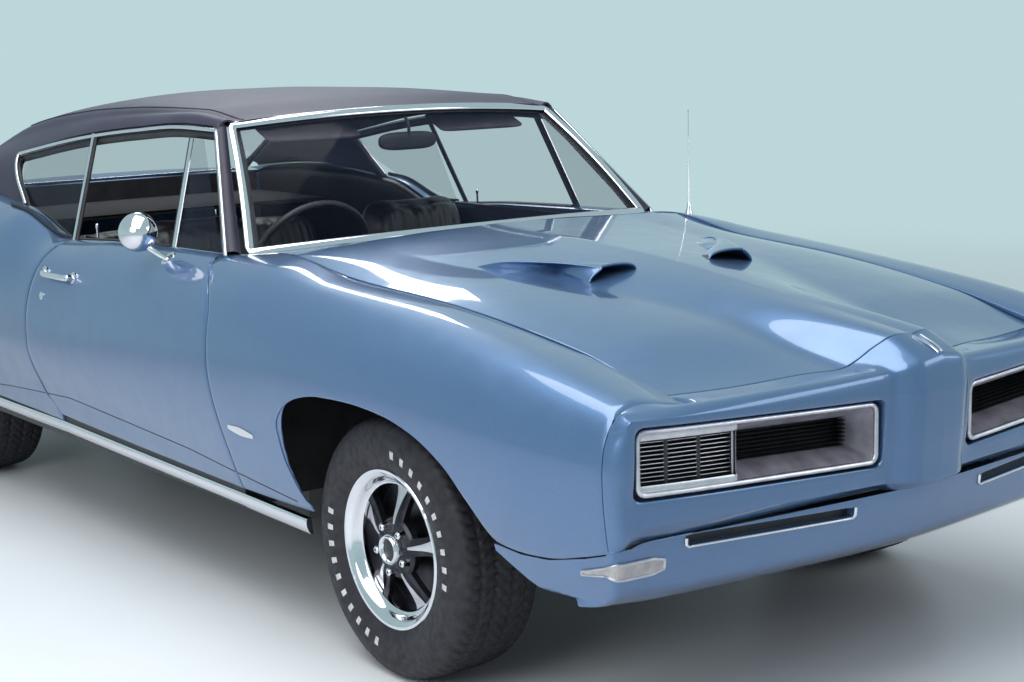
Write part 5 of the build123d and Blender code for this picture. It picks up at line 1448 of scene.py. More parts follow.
VENT_BAR = [on_glass(-0.352, 0.944), on_glass(-0.281, 1.258)]
VENT_FRONT = [on_glass(-0.640, 0.950), on_glass(-0.372, 1.262)]
DIVISION_BAR = [on_glass(0.322, 0.918), on_glass(0.391, 1.252)]
vent_corners = (VENT_FRONT[0] + (0, 0.02, 0.004), VENT_BAR[0], VENT_BAR[1], VENT_FRONT[1] + (0, 0.03, -0.004))
vent_line = traced(VENT_BAR, np.linspace(0, 1, 12))
vent_foot = traced(
    [VENT_FRONT[0] + (0.001, 0.012, -0.002), VENT_BAR[0] + (0.001, 0, -0.002)], np.linspace(0, 1, 12)
)
belt_line = side_at(np.linspace(-0.33, 0.338, 40), 0.062) + (0, 0, 0.001)
for side, mirror in SIDES:
    way, door = (mirror, 1, 1), f"door_{side}"
    vent = Mesh().grid(pane(vent_corners) * way, away=(0, -0.4, 1.0))
    put(vent, f"vent_glass_{side}", GLASS, body=door, replaces=(f"vent_{side}",), thickness=0.004)
    trim = rod(Mesh(), (vent_line + (0.004, 0, 0)) * way, 0.009, 0.020, up=ACROSS_FACE, count=10)
    put(trim, f"vent_bar_{side}", CHROME, body=door)
    seal = rod(Mesh(), (vent_line + (0, 0.014, 0)) * way, 0.012, 0.012, up=ACROSS_FACE, count=10)
    put(rod(seal, vent_foot * way, 0.012, 0.010, count=10), f"vent_seal_{side}", BLACK, body=door)
    put(rod(Mesh(), belt_line * way, 0.030, 0.006, count=8), f"belt_seal_{side}", BLACK, body=door)
bars, quarter_seals = Mesh(), Mesh()
division_line = traced(DIVISION_BAR, np.linspace(0, 1, 14))
rods(bars, division_line + (0.004, 0.004, 0), 0.008, 0.018, up=ACROSS_FACE, count=10)
rods(quarter_seals, division_line + (0, -0.012, 0), 0.012, 0.014, up=ACROSS_FACE, count=10)
rods(quarter_seals, side_at(np.linspace(0.358, 0.83, 40), 0.075) + (0, 0, 0.006), 0.010, 0.012, count=10)
put(bars, "quarter_window_bars", CHROME)
put(quarter_seals, "quarter_window_seals", BLACK)

# %% [markdown]
# ## Hood scoops, cowl and nose spear
# Each scoop is a small raised fairing: its mouth is a wide oval that faces forward, and its back
# fades into the hood over a hand's length. The height is a smooth bump added to the hood's own
# surface, so the two always meet.

# %% Scoops
SCOOP_X, SCOOP_Y, SCOOP_LENGTH, MOUTH_HALF, MOUTH_SAG = 0.205, -1.672, 0.31, 0.070, 0.012


def hood_point(x, y, length=1.49, half_width=0.67):
    """Hood surface at given x and y: r and u are corrected twelve times, each time by how far the
    surface still is from the place, over the hood's size."""
    x, y = np.broadcast_arrays(x, y)
    r, u = np.full(x.shape, 0.4), 1 - x / half_width
    for _ in range(12):
        at = hood_at(r, u)
        r = (r + (at[..., 1] - y) / length).clip(0, 1)
        u = (u + (at[..., 0] - x) / half_width).clip(0, 1)
    return hood_at(r, u)


scoops, mouths, scoop_rims = Mesh(), Mesh(), Mesh()
u, v = np.linspace(-1, 1, 41)[None], np.linspace(0, 1, 44)[:, None]
scoop_x = SCOOP_X + 0.03 * v + (MOUTH_HALF * (1 - v) ** 0.8 + 0.012) * u
scoop_y = SCOOP_Y + MOUTH_SAG * u**2 + SCOOP_LENGTH * v
rise = 0.031 * (1 - abs(u) ** 2.6) ** 0.6 * (1 - v) ** 0.75 * (1 + 1.3 * v)
base = hood_point(scoop_x, scoop_y)
scoop_top = base + (rise - 0.0006)[..., None] * (0, 0, 1)
front_edge = scoop_top[0]
floor_edge = base[0] - MOUTH_SAG * (1 - u[0][:, None] ** 2) * (0, 1, 1)
inner_top = front_edge + (0, 0.006, -0.005)
rolled_edge = np.stack([front_edge, (front_edge + inner_top) / 2 + (0, -0.001, 0), inner_top])
throat_back = front_edge * (1, 1, 0.5) + floor_edge * (0, 0, 0.5) + (0, 0.09, -0.006)
throat = np.stack([inner_top + (0, 0.001, 0), throat_back, floor_edge + (0, 0, 0.0018)])
for _, mirror in SIDES:
    way = (mirror, 1, 1)
    scoops.grid(scoop_top * way, away=np.multiply(way, (SCOOP_X, SCOOP_Y + 0.1, 0.8)))
    scoops.grid(rolled_edge * way, away=np.multiply(way, (SCOOP_X, SCOOP_Y - 0.05, 0.99)))
    mouths.grid(throat * way, away=np.multiply(way, (SCOOP_X, SCOOP_Y + 0.4, 0.94)))
rods(scoop_rims, front_edge + (0, 0.001, 0.001), 0.006, 0.005, up=(0, 1, 0.2), count=8)
put(scoops, "hood_scoops", PAINT, body="hood", sharp=50)
put(mouths, "scoop_mouths", BLACK, body="hood", thickness=0.001)
put(scoop_rims, "scoop_rims", PAINT, body="hood")

# %% Cowl
COWL_HALF, COWL_COLUMNS = 0.734, 50
cowl_u, cowl_v = np.linspace(0, 1, COWL_COLUMNS), np.linspace(0, 1, 12)[:, None, None]
cowl_front = hood_at(0.0, 1 - cowl_u) + (0, 0.0115, -0.003)
cowl_rear = join(COWL_HALF * cowl_u, -0.792 + 0.078 * cowl_u**2, 0.972 - 0.016 * cowl_u**2)
cowl_half = cowl_front * (1 - cowl_v) + cowl_rear * cowl_v + np.sin(math.pi * cowl_v) * (0, 0, -0.004)
cowl_grid = np.concatenate([cowl_half[:, ::-1] * (-1, 1, 1), cowl_half[:, 1:]], 1)
cowl = Mesh().grid(hem(cowl_grid, (0, 0, 1), 0.002, (0.02, 0.004, 0.006, 0.006)), away=(0, -0.85, 0.5))
put(cowl, "cowl_skin", PAINT, thickness=SHEET)
slits = Mesh()
for x in np.linspace(-0.42, 0.42, 25):
    if abs(x) > 0.02:
        column = int(abs(x) / COWL_HALF * (COWL_COLUMNS - 1))
        first, last = (cowl_half[row, column] * (np.sign(x), 1, 1) for row in (3, 9))
        rod(slits, np.linspace(0, 1, 8)[:, None] * (last - first) + first + (0, 0, 0.0015), 0.009, 0.003, count=8)
put(slits, "cowl_slits", BLACK)

# %% Nose spear
spear = Mesh()
spear_y = np.linspace(-2.468, -2.536, 20)
top_rows = nose_half[: place_of(nose_v, (0.30,))[0] + 1, 0]
spear_z = np.interp(spear_y, top_rows[::-1, 1], top_rows[::-1, 2]) + 0.002
rods(spear, join(np.linspace(0.013, 0.007, 20), spear_y, spear_z), 0.007, 0.005, count=10)
put(spear, "nose_spear", CHROME)

# %% [markdown]
# ## Wheels
# Each wheel has a bright trim ring, a polished dish that goes in towards the middle, five dark
# spokes with a bright ridge on each, five nuts and a small cap. Round forms are profiles turned
# about the axle, and a spoke is one grid that is copied round by turning its points.

# %% Wheel forms
AXLES = {"front": -1.584, "rear": 1.261}
WHEEL_X, TYRE_RADIUS, SPOKES = 0.762, 0.325, 5
WHEELS = [
    (f"{end}_{side}", mirror, np.array([mirror * WHEEL_X, axle, TYRE_RADIUS]))
    for end, axle in AXLES.items()
    for side, mirror in SIDES
]
# Profiles hold the distance out from the wheel's middle and the radius
RIM = [
    (-0.098, 0.178), (-0.104, 0.190), (-0.100, 0.192), (-0.092, 0.176), (-0.070, 0.168), (0.040, 0.168),
    (0.074, 0.174), (0.094, 0.178), (0.100, 0.186), (0.103, 0.196), (0.106, 0.1985), (0.1085, 0.1965),
    (0.108, 0.190), (0.104, 0.1845), (0.102, 0.181), (0.100, 0.1785), (0.095, 0.175), (0.087, 0.1705),
    (0.081, 0.167), (0.0785, 0.1645), (0.080, 0.162), (0.0785, 0.1585), (0.072, 0.1575), (0.064, 0.158),
    (0.056, 0.159), (-0.070, 0.160), (-0.088, 0.170), (-0.098, 0.178),
]
HUB = [
    (0.052, 0.0), (0.054, 0.060), (0.066, 0.074), (0.082, 0.076), (0.089, 0.070), (0.092, 0.056), (0.093, 0.040),
    (0.092, 0.0),
]
DISH = [(0.020, 0.02), (0.020, 0.159), (0.028, 0.159), (0.028, 0.02)]
CAP_RING = [
    (0.090, 0.0235), (0.100, 0.0245), (0.108, 0.026), (0.113, 0.0295), (0.114, 0.0335), (0.110, 0.037), (0.100, 0.0385),
    (0.090, 0.0385),
]
CAP_FACE = [(0.092, 0.0), (0.107, 0.0), (0.1075, 0.012), (0.1055, 0.021), (0.102, 0.0265), (0.092, 0.0265)]
NUT = [
    (-0.006, 0), (-0.006, 0.0115), (0.008, 0.0105), (0.016, 0.0095), (0.019, 0.0062), (0.019, 0.004), (0.012, 0.0035),
    (0.012, 0),
]
# radius, distance out, width and the crown's height
SPOKE = np.array([
    (0.040, 0.093, 0.048, 0.002), (0.056, 0.091, 0.046, 0.004), (0.072, 0.087, 0.044, 0.007),
    (0.090, 0.081, 0.043, 0.009), (0.108, 0.075, 0.044, 0.009), (0.126, 0.070, 0.050, 0.008),
    (0.142, 0.067, 0.062, 0.005), (0.158, 0.067, 0.078, 0.002),
])
# Place across a spoke, as a share of its width, and the lift there: a share of the crown, or
# metres where it is negative
SPOKE_ACROSS = np.array([-0.5, -0.5, -0.36, -0.2, -0.12, 0, 0.12, 0.2, 0.36, 0.5, 0.5])
SPOKE_LIFT = np.array([-0.020, -0.004, 0, 0.15, 0.9, 1, 0.9, 0.15, 0, -0.004, -0.020])
NUT_OUT, NUT_RADIUS = 0.091, 0.058


def about_axle(centre, mirror, out, radius, turn):
    """Points round an axle: the distance out gives x, and the radius times the turn's cosine and
    sine gives y and z."""
    return centre + join(mirror * out, radius * np.cos(turn), radius * np.sin(turn))


def turned_about_axle(profile, centre, mirror, count=96):
    """Grid of a profile turned about the axle. Each point goes out by the profile's first value and
    round by its second."""
    out, radius = np.asarray(profile, float).T[..., None]
    return about_axle(centre, mirror, out, radius, np.linspace(0, 2 * math.pi, count, endpoint=False))


def spoke_grid(angle, profile, centre, mirror):
    """One spoke: rows go out along the radius and columns across it, turned by the angle."""
    radius, out, width, crown = (column[:, None] for column in profile)
    rise = np.where(SPOKE_LIFT < 0, SPOKE_LIFT, SPOKE_LIFT * crown)
    side = SPOKE_ACROSS * width
    y = radius * math.cos(angle) - side * math.sin(angle)
    z = radius * math.sin(angle) + side * math.cos(angle)
    return centre + join(mirror * (out + rise), y, z)


spoke_radii = np.linspace(SPOKE[0, 0], SPOKE[-1, 0], 26)
fine_spoke = [np.interp(spoke_radii, SPOKE[:, 0], column) for column in SPOKE.T]
for name, mirror, centre in WHEELS:
    body, behind = f"wheel_{name}", centre - (mirror * 0.05, 0, 0)
    put(Mesh().tube(turned_about_axle(RIM, centre, mirror)), f"rim_{name}", CHROME, body=body, sharp=30)
    spider, ridges, nuts = Mesh(), Mesh(), Mesh()
    for profile in (HUB, DISH):
        spider.tube(turned_about_axle(profile, centre, mirror, 60))
    for k in range(SPOKES):
        angle = math.pi / 2 + k * 2 * math.pi / SPOKES + 0.1
        blade = spoke_grid(angle, fine_spoke, centre, mirror)
        spider.grid(blade, away=behind)
        crest = blade[5:-1, 5:6]
        widening = np.linspace(0.5, 2.4, len(crest))[:, None, None]
        ridges.grid(crest + (blade[5:-1, 4:7] - crest) * widening + (mirror * 0.0008, 0, 0), away=behind)
        place = about_axle(centre, mirror, NUT_OUT, NUT_RADIUS, angle + math.pi / SPOKES)
        disc_form(nuts, NUT, place, (mirror, 0, 0), 18)
    nuts.tube(turned_about_axle(CAP_RING, centre, mirror, 48), close_rows=True)
    put(spider, f"spokes_{name}", SPOKE_GREY, body=body, replaces=(body,))
    put(ridges, f"spoke_ridges_{name}", SILVER, body=body, thickness=0.0006)
    put(nuts, f"wheel_nuts_{name}", CHROME, body=body)
    put(Mesh().tube(turned_about_axle(CAP_FACE, centre, mirror, 36)), f"wheel_cap_{name}", BLACK, body=body)

# %% [markdown]
# ## Tyres
# The tyre's section is turned about the axle. The tread is the same grid, pressed in where grooves
# run: straight grooves round the tyre and slanted ones across it. On the outer wall, plain white
# blocks stand where such tyres carry lettering.

# %% Tyres
TYRE_PROFILE = np.array([
    (-0.088, 0.176), (-0.100, 0.188), (-0.108, 0.205), (-0.1155, 0.228), (-0.1195, 0.250), (-0.1185, 0.272),
    (-0.113, 0.294), (-0.106, 0.308), (-0.094, 0.3185), (-0.06, 0.3240), (0, 0.325), (0.06, 0.3240),
    (0.094, 0.3185), (0.106, 0.308), (0.113, 0.294), (0.1185, 0.272), (0.1195, 0.250), (0.1155, 0.228),
    (0.108, 0.205), (0.100, 0.188), (0.088, 0.176),
])
TYRE_INSIDE = [(0.088, 0.176), (0.05, 0.170), (-0.05, 0.170), (-0.088, 0.176)]
AROUND, ACROSS, TREAD_BLOCKS, GROOVES, WALL_LINES = 396, 56, 66, (-0.066, -0.025, 0.025, 0.066), (0.283, 0.226)


def groove(place, width, softness):
    """One inside a groove that is centred on zero, falling to zero over the softness."""
    return 1 / (1 + np.exp((abs(place) - width / 2) / softness))


def tyre_grid(centre, mirror):
    """Section turned about the axle and pressed in where the grooves are."""
    even = np.linspace(-1, 1, ACROSS)
    section = traced(TYRE_PROFILE, 0.5 + 0.31 * even + 0.19 * even**3)
    out, radius = section[:, None, 0], section[:, None, 1]
    turn = np.linspace(0, 2 * math.pi, AROUND, endpoint=False)[None]
    pitch = 2 * math.pi / TREAD_BLOCKS
    wave = np.sin(out * 62) * pitch
    sideways = groove(((turn + 0.55 * wave) / pitch) % 1 - 0.5, 0.13, 0.025)
    finer = groove(((turn - 0.6 * wave) / pitch + 0.5) % 1 - 0.5, 0.07, 0.02) * 0.6
    rings = sum(groove(out - place - 0.0035 * np.sin(turn * TREAD_BLOCKS), 0.007, 0.0008) for place in GROOVES)
    tread = groove(out, 0.214, 0.004) * groove(radius - TYRE_RADIUS, 0.044, 0.002)
    depth = 0.0065 * np.maximum(np.maximum(rings, finer), sideways) * tread
    lines = 0.0006 * sum(groove(radius - place, 0.0022, 0.0004) for place in WALL_LINES)
    return about_axle(centre, mirror, out + np.sign(out) * lines, radius - depth, turn)


BLOCK_ANGLES = np.radians(np.r_[np.linspace(100, 188, 10), np.linspace(-78, 12, 10)])
block_radius = np.linspace(0.2365, 0.2555, 5)[:, None]
wall_out, wall_radius = TYRE_PROFILE[10:][::-1].T
block_out = np.interp(block_radius, wall_radius, wall_out) + 0.0009
for name, mirror, centre in WHEELS:
    body = f"wheel_{name}"
    tyre = Mesh().grid(tyre_grid(centre, mirror), close_columns=True)
    tyre.grid(turned_about_axle(TYRE_INSIDE, centre, mirror, AROUND), close_columns=True)
    tyre.points, tyre.faces = [np.vstack(tyre.points)], [np.vstack(tyre.faces)]
    put(tyre.outward(), f"tyre_body_{name}", RUBBER, body=body, replaces=(f"tyre_{name}",), sharp=50)
    blocks = Mesh()
    for angle in BLOCK_ANGLES:
        face = about_axle(centre, mirror, block_out, block_radius, angle + np.linspace(-0.026, 0.026, 5))
        blocks.grid(hem(face, (mirror, 0, 0), 0.0007, (0.0022,) * 4), away=centre * (0, 1, 1))
    put(blocks, f"tyre_blocks_{name}", WHITE_RUBBER, body=body)

# %% [markdown]
# ## Tail
# Behind the rear glass a short shelf runs to the deck lid. The lid is a flat sheet with a turned
# down lip, and under it sits the tail panel with a full-width bright bumper that holds the lamps.

# %% Deck lid and shelf
LID_FRONT_Y, LID_LIP_Y, LID_LIP_Z, LIP_RADIUS = 1.8035, 2.428, 0.842, 0.016


def lid_at(y, u):
    """Lid surface: it spans the quarter panels' edges and rises by 16 mm to the middle."""
    edge = side_at(np.minimum(y, 2.42), 0)
    x = u * (edge[..., 0] - 0.0065)
    return join(x, y + 0 * x, edge[..., 2] + 0.016 * (1 - u**2) + 0.001)


lid_u = np.linspace(-1, 1, 81)[None]
lid_top = lid_at(np.linspace(LID_FRONT_Y, LID_LIP_Y, 30)[:, None], lid_u)
lip_turn = np.linspace(0, math.pi / 2, 8)[1:, None, None]
lip_roll = lid_top[-1:] + LIP_RADIUS * np.concatenate([0 * lip_turn, np.sin(lip_turn), np.cos(lip_turn) - 1], -1)
lip_start = lip_roll[-1:]
lip_end = lip_start * (0.985, 1, 0) + (0, 0, LID_LIP_Z)
lip_face = lip_start + (lip_end - lip_start) * np.linspace(0, 1, 14)[1:, None, None]
lid_grid = np.concatenate([lid_top, lip_roll, lip_face])
lid = Mesh().grid(hem(lid_grid, (0, 0.3, 1), 0.0022, (0.010, 0.010, 0.014, 0.014)), away=(0, 2.0, 0.5))
put(lid, "deck_lid_skin", PAINT, body="deck_lid", replaces=("deck_lid",), thickness=SHEET)
shelf_v = np.linspace(0, 1, 16)[:, None, None]
shelf_rear = lid_at(np.array([[1.7925]]), lid_u) - (0, 0, 0.001)
shelf_front = join(0.70 * lid_u, 1.672 - 0.03 * lid_u**2, 0.990 + 0 * lid_u)
shelf = shelf_front * (1 - shelf_v) + shelf_rear * shelf_v
shelf[..., 0] = np.clip(shelf[..., 0], -0.695, 0.695)
shelf_skin = Mesh().grid(hem(shelf, (0, 0, 1), 0.002, (0.004, 0.010, 0.003, 0.003)), away=(0, 1.7, 0.5))
put(shelf_skin, "shelf_skin", PAINT, thickness=SHEET)

# %% Rear bumper and lamps
# x, front y, y at the top, y half-way, y at the bottom, z at the bottom, z at the top, in millimetres
REAR_BUMPER = np.array([
    (0, 2434, 2532, 2547, 2534, 486, 640),
    (300, 2434, 2530, 2545, 2532, 487, 640),
    (560, 2434, 2524, 2540, 2526, 490, 640),
    (800, 2434, 2492, 2506, 2494, 500, 639),
    (846, 2434, 2470, 2482, 2472, 504, 638),
    (864, 2434, 2446, 2452, 2448, 508, 636),
]) / 1000
BUMPER_ROWS, BUMPER_END_Y = 41, 2.436
TAIL_LAMP_X, TAIL_LAMP_Z, LAMP_BARS_X = (0.50, 0.81), (0.545, 0.604), (0.577, 0.655, 0.733)


def bumper_rear(x, z):
    """Rear face of the bumper at given x and z."""
    row = flow(REAR_BUMPER[:, 0], REAR_BUMPER[:, 3], abs(x))[..., 0]
    return join(x, row + 0.0045 - 1.2 * (z - 0.566) ** 2, z)


bumper_x = np.r_[np.linspace(0, 0.78, 34), np.linspace(0.79, 0.864, 14)]
front, crest_y, mid_y, low_y, low_z, top_z = flow(REAR_BUMPER[:, 0], REAR_BUMPER[:, 1:], bumper_x).T
section = np.array([
    (front, low_z + 0.004), (low_y - 0.02, low_z), (low_y, low_z + 0.010), (mid_y, low_z * 0.72 + top_z * 0.28),
    (mid_y + 0.001, (low_z + top_z) / 2), (crest_y + 0.004, top_z - 0.022), (crest_y - 0.008, top_z - 0.002),
    (front, top_z),
])
stations = [0, 0.2, 0.3, 0.45, 0.6, 0.78, 0.86, 1]
yz = flow(stations, section.reshape(len(stations), -1), np.linspace(0, 1, BUMPER_ROWS)).reshape(BUMPER_ROWS, 2, -1)
bumper_half = join(bumper_x, yz[:, 0], yz[:, 1])
end_cap = bumper_half[:, -1:] * (1, 0, 1) + (0, BUMPER_END_Y, 0)
bumper = Mesh().grid(np.concatenate([bumper_half, end_cap], 1), away=(0.3, 2.44, 0.56)).mirrored()
put(bumper, "rear_bumper_skin", CHROME, replaces=("rear_bumper",), thickness=0.002)
tail_lenses, tail_rims = Mesh(), Mesh()
lens_face = bumper_rear(np.linspace(*TAIL_LAMP_X, 26)[None], np.linspace(*TAIL_LAMP_Z, 10)[:, None])
tail_lenses.grid(hem(lens_face, (0, 1, 0), 0.003, (0.018,) * 4), away=(0.66, 2.3, 0.575))
rod(tail_rims, edge_of(lens_face) + (0, 0.001, 0), 0.008, 0.008, up=ACROSS_FACE, closed=True, count=8)
for x in LAMP_BARS_X:
    line = bumper_rear(np.full(8, x), np.linspace(*TAIL_LAMP_Z, 8)) + (0, 0.0022, 0)
    rod(tail_rims, line, 0.004, 0.004, up=ACROSS_FACE, count=8)
put(tail_lenses.mirrored(), "tail_lenses", RED, replaces=("tail_lamps",))
put(tail_rims.mirrored(), "tail_lamp_rims", CHROME)

# %% Tail panel and the corners beside it
TAIL_Y, TAIL_TOP_Z = 2.4335, 0.836
TAIL_HALF_WIDTHS = [(0.46, 0.84), (0.64, 0.861), (0.69, 0.862), (TAIL_TOP_Z, 0.70)]
tail_z = np.linspace(0.46, TAIL_TOP_Z, 16)[:, None]
tail_x = np.linspace(-1, 1, 41)[None] * np.interp(tail_z, *zip(*TAIL_HALF_WIDTHS))
tail_face = join(tail_x, TAIL_Y, tail_z)
put(Mesh().grid(hem(tail_face, (0, 1, 0), 0.002, (0.01,) * 4), away=(0, 2, 0.6)), "tail_skin", PAINT, thickness=0.001)
outer_edge = side_at(2.4215, np.linspace(0.0, 0.42, 24))
edge_z = outer_edge[:, 2]
inner_x = np.where(edge_z < TAIL_TOP_Z, 0.70, np.interp(edge_z, (TAIL_TOP_Z, 0.95), (0.664, 0.668)))
inner_edge = join(inner_x, TAIL_Y, edge_z)
turn = np.linspace(0, math.pi / 2, 10)[:, None, None]
rounded = outer_edge + np.concatenate([-0.014 * (1 - np.cos(turn)), 0.0125 * np.sin(turn), 0 * turn], -1)
tail_corners = Mesh().grid(np.concatenate([rounded, inner_edge[None]]), away=(0.5, 2.2, 0.8)).mirrored()
put(tail_corners, "tail_corners", PAINT, thickness=0.001)

# %% [markdown]
# ## Seats
# A seat pad is a closed skin over foam. It could be a rounded box, but real pads crown and pull in
# at their corners, so each starts as a slightly small rounded form and Cloth blows it up a little.
# The sewn channels are pressed in afterwards, because a remesh would lose them.

# %% Padded pieces
PAD_VOXEL, PAD_PRESSURE, PAD_STIFFNESS, PAD_FRAMES, PAD_CAP, PAD_FILL = 0.0130, 4.0, 25, 20, 0.024, 0.7
CHANNEL_PITCH, CHANNEL_CROWN, CHANNEL_SEAM, FRAME_SEAM = 0.058, 0.006, 0.005, 0.006
FRAME_SHARE = (0.84, 0.70)


def pad_shape(half, roundness=0.42, rows=48, columns=96):
    """Rounded box: a sphere whose sines and cosines are raised to a small power."""
    around = np.linspace(0, 2 * math.pi, columns, endpoint=False)[None]
    down = np.linspace(-math.pi / 2, math.pi / 2, rows)[:, None]

    def power(value, p):
        return np.sign(value) * abs(value) ** p

    flat = power(np.cos(down), 0.5)
    x = flat * power(np.cos(around), roundness)
    y = flat * power(np.sin(around), roundness)
    z = power(np.sin(down), 0.75) + 0 * around
    return join(x, y, z) * half


def leaned(points, angle):
    """Points turned about the car's cross axis: y and z are mixed by the angle's cosine and sine."""
    (x, y, z), c, s = np.moveaxis(points, -1, 0), math.cos(angle), math.sin(angle)
    return join(x, y * c - z * s, y * s + z * c)


def bell(distance, width):
    """One where the distance is zero, and falling off on both sides along a bell curve."""
    return np.exp(-((distance / width) ** 2))


def baked(made):
    """Works an object's modifiers into its mesh, and gives the mesh and its points."""
    mesh = evaluated(made)
    made.modifiers.clear()
    made.data = mesh
    points = np.empty(len(mesh.vertices) * 3)
    mesh.vertices.foreach_get("co", points)
    return mesh, points.reshape(-1, 3)


def inflated(made):
    """Remeshes a closed form, lets Cloth swell it under inner pressure and keeps each point
    within the cap of where it started."""
    voxels = made.modifiers.new("voxels", "REMESH")
    voxels.mode, voxels.voxel_size = "VOXEL", PAD_VOXEL
    _, start = baked(made)
    cloth = made.modifiers.new("swell", "CLOTH")
    cloth.settings.use_pressure = True
    cloth.settings.uniform_pressure_force = PAD_PRESSURE
    cloth.settings.effector_weights.gravity = 0
    cloth.settings.tension_stiffness = cloth.settings.compression_stiffness = PAD_STIFFNESS
    cloth.settings.quality = 4
    scene = bpy.context.scene
    for number in range(1, PAD_FRAMES + 1):
        scene.frame_set(number)
    swollen, end = baked(made)
    scene.frame_set(1)
    move = end - start
    length = np.linalg.norm(move, axis=1, keepdims=True)
    end = start + move * np.minimum(1, PAD_CAP / np.maximum(length, 1e-9))
    swollen.vertices.foreach_set("co", end.ravel())
    return made


def pad(name, middle, half, lean, node=()):
    """One padded piece, leaned about the car's cross axis by some degrees, with channels pressed
    into its face. Each channel is a narrow bell curve that fades out towards the borders, and a
    seam of the same kind runs round them as a frame."""
    made = inflated(Mesh().tube(pad_shape(np.asarray(half) - (0.012, 0.012, 0.010))).object(name))
    finer = made.modifiers.new("finer", "SUBSURF")
    finer.levels = finer.render_levels = 1
    smooth, points = baked(made)
    smooth.name = name
    x, y, z = points.T
    face = z > 0
    border = 1 / (1 + np.exp((abs(y) - half[1] * 0.66) / 0.006)) / (1 + np.exp((abs(x) - half[0] * 0.80) / 0.006))
    offset = (x / CHANNEL_PITCH + 0.5) % 1 - 0.5
    crown = CHANNEL_CROWN * np.cos(math.pi * offset) ** 2
    seam = CHANNEL_SEAM * bell(offset * CHANNEL_PITCH, 0.0045)
    past_x, past_y = (abs(place) - size * share for place, size, share in zip((x, y), half, FRAME_SHARE))
    frame_seam = FRAME_SEAM * (bell(past_y, 0.0055) * (past_x < 0) + bell(past_x, 0.0055) * (past_y < 0)) * face
    pressed = join(x, y, z + (crown - seam) * border * face - frame_seam)
    smooth.vertices.foreach_set("co", (leaned(pressed, math.radians(lean)) + middle).ravel())
    smooth.polygons.foreach_set("use_smooth", np.ones(len(smooth.polygons), bool))
    smooth.update()
    dress(made, SEAT, replaces=node)


SEAT_X = 0.4275
for side, mirror in SIDES:
    node = ("front_seats",) if mirror > 0 else ()
    pad(f"seat_cushion_{side}", (mirror * SEAT_X, -0.165, 0.545), (0.245, 0.245, 0.062), -4, node)
    pad(f"seat_back_{side}", (mirror * SEAT_X, 0.150, 0.795), (0.240, 0.215, 0.055), 77)
pad("rear_cushion", (0, 0.690, 0.570), (0.565, 0.215, 0.060), -6, ("rear_seat",))
pad("rear_back", (0, 0.972, 0.742), (0.565, 0.165, 0.052), 66)

# %% Seat bases and parcel shelf
# middle and half size
BASES = [
    ((SEAT_X, -0.14, 0.405), (0.215, 0.19, 0.079)),
    ((-SEAT_X, -0.14, 0.405), (0.215, 0.19, 0.079)),
    ((0, 0.60, 0.420), (0.56, 0.10, 0.094)),
]
bases = Mesh()
for middle, half in BASES:
    bases.tube(pad_shape(half, 0.16, 20, 56) + middle)
put(bases, "seat_bases", CARPET)
parcel_x, parcel_y = np.linspace(-0.635, 0.635, 30)[None], np.linspace(1.092, 1.636, 16)[:, None]
parcel = join(parcel_x, parcel_y, 0.908 + 0.004 * np.cos(parcel_x * 2))
put(Mesh().grid(parcel, away=(0, 1.3, 0)), "parcel_shelf_cloth", CARPET, thickness=0.003)

# %% [markdown]
# ## Quarter trim
# Beside the rear seat the sheet metal is hidden by a moulded vinyl panel. It stands upright at the
# seat, steps over the wheel arch, rolls outwards to the window's sill at its top, and draws in
# beside the parcel shelf. One grid does it: a plan curve gives x, and a quarter circle the roll.

# %% Quarter trim panels
TRIM_PLAN = [(0.372, 0.706), (0.80, 0.702), (0.95, 0.690), (1.12, 0.650), (1.62, 0.640)]
TRIM_FOOT = [(0.372, 0.47), (0.76, 0.47), (0.88, 0.735), (1.62, 0.735)]
TRIM_ROLL, TRIM_PLEATS_END = 0.022, 0.86


def pleats(y, z):
    """Depth of a trim panel's upright pleats: the size of a sine along y, in a band of heights."""
    return 0.004 * abs(np.sin(y * math.pi / 0.055)) * ((z > 0.60) & (z < 0.84))


def quarter_trim_grid(columns=70, upright=15, roll=6):
    """Upright part: x from the plan curve, z from the foot line to the roll. Roll: x and z go by the
    sine and one minus the cosine of an angle from 0 to 90 degrees out to the side's top edge."""
    y = np.linspace(TRIM_PLAN[0][0], TRIM_PLAN[-1][0], columns)
    x = flow(*zip(*TRIM_PLAN), y)[..., 0]
    foot = np.interp(y, *zip(*TRIM_FOOT))
    edge = side_at(y, 0.0)
    top = edge[:, 2] - 0.006
    rows = []
    for v in np.linspace(0, 1, upright):
        z = foot + (top - TRIM_ROLL - foot) * v
        rows.append(join(x - pleats(y, z) * (y < TRIM_PLEATS_END), y, z))
    for angle in np.linspace(0, math.pi / 2, roll)[1:]:
        reach = (edge[:, 0] - 0.012 - x) * (1 - math.cos(angle))
        rows.append(join(x + reach, y, top - TRIM_ROLL * (1 - math.sin(angle))))
    return np.array(rows)


quarter_trim = Mesh().grid(quarter_trim_grid(), away=(0.95, 1.0, 0.7)).mirrored()
put(quarter_trim, "quarter_trims", SEAT, thickness=0.003)

# %% [markdown]
# ## Dashboard and steering wheel
# The dashboard is one section carried across the cabin, with a padded top and a satin band. Round
# dials sit in it ahead of the driver. The steering wheel has a thin rim and three flat spokes.

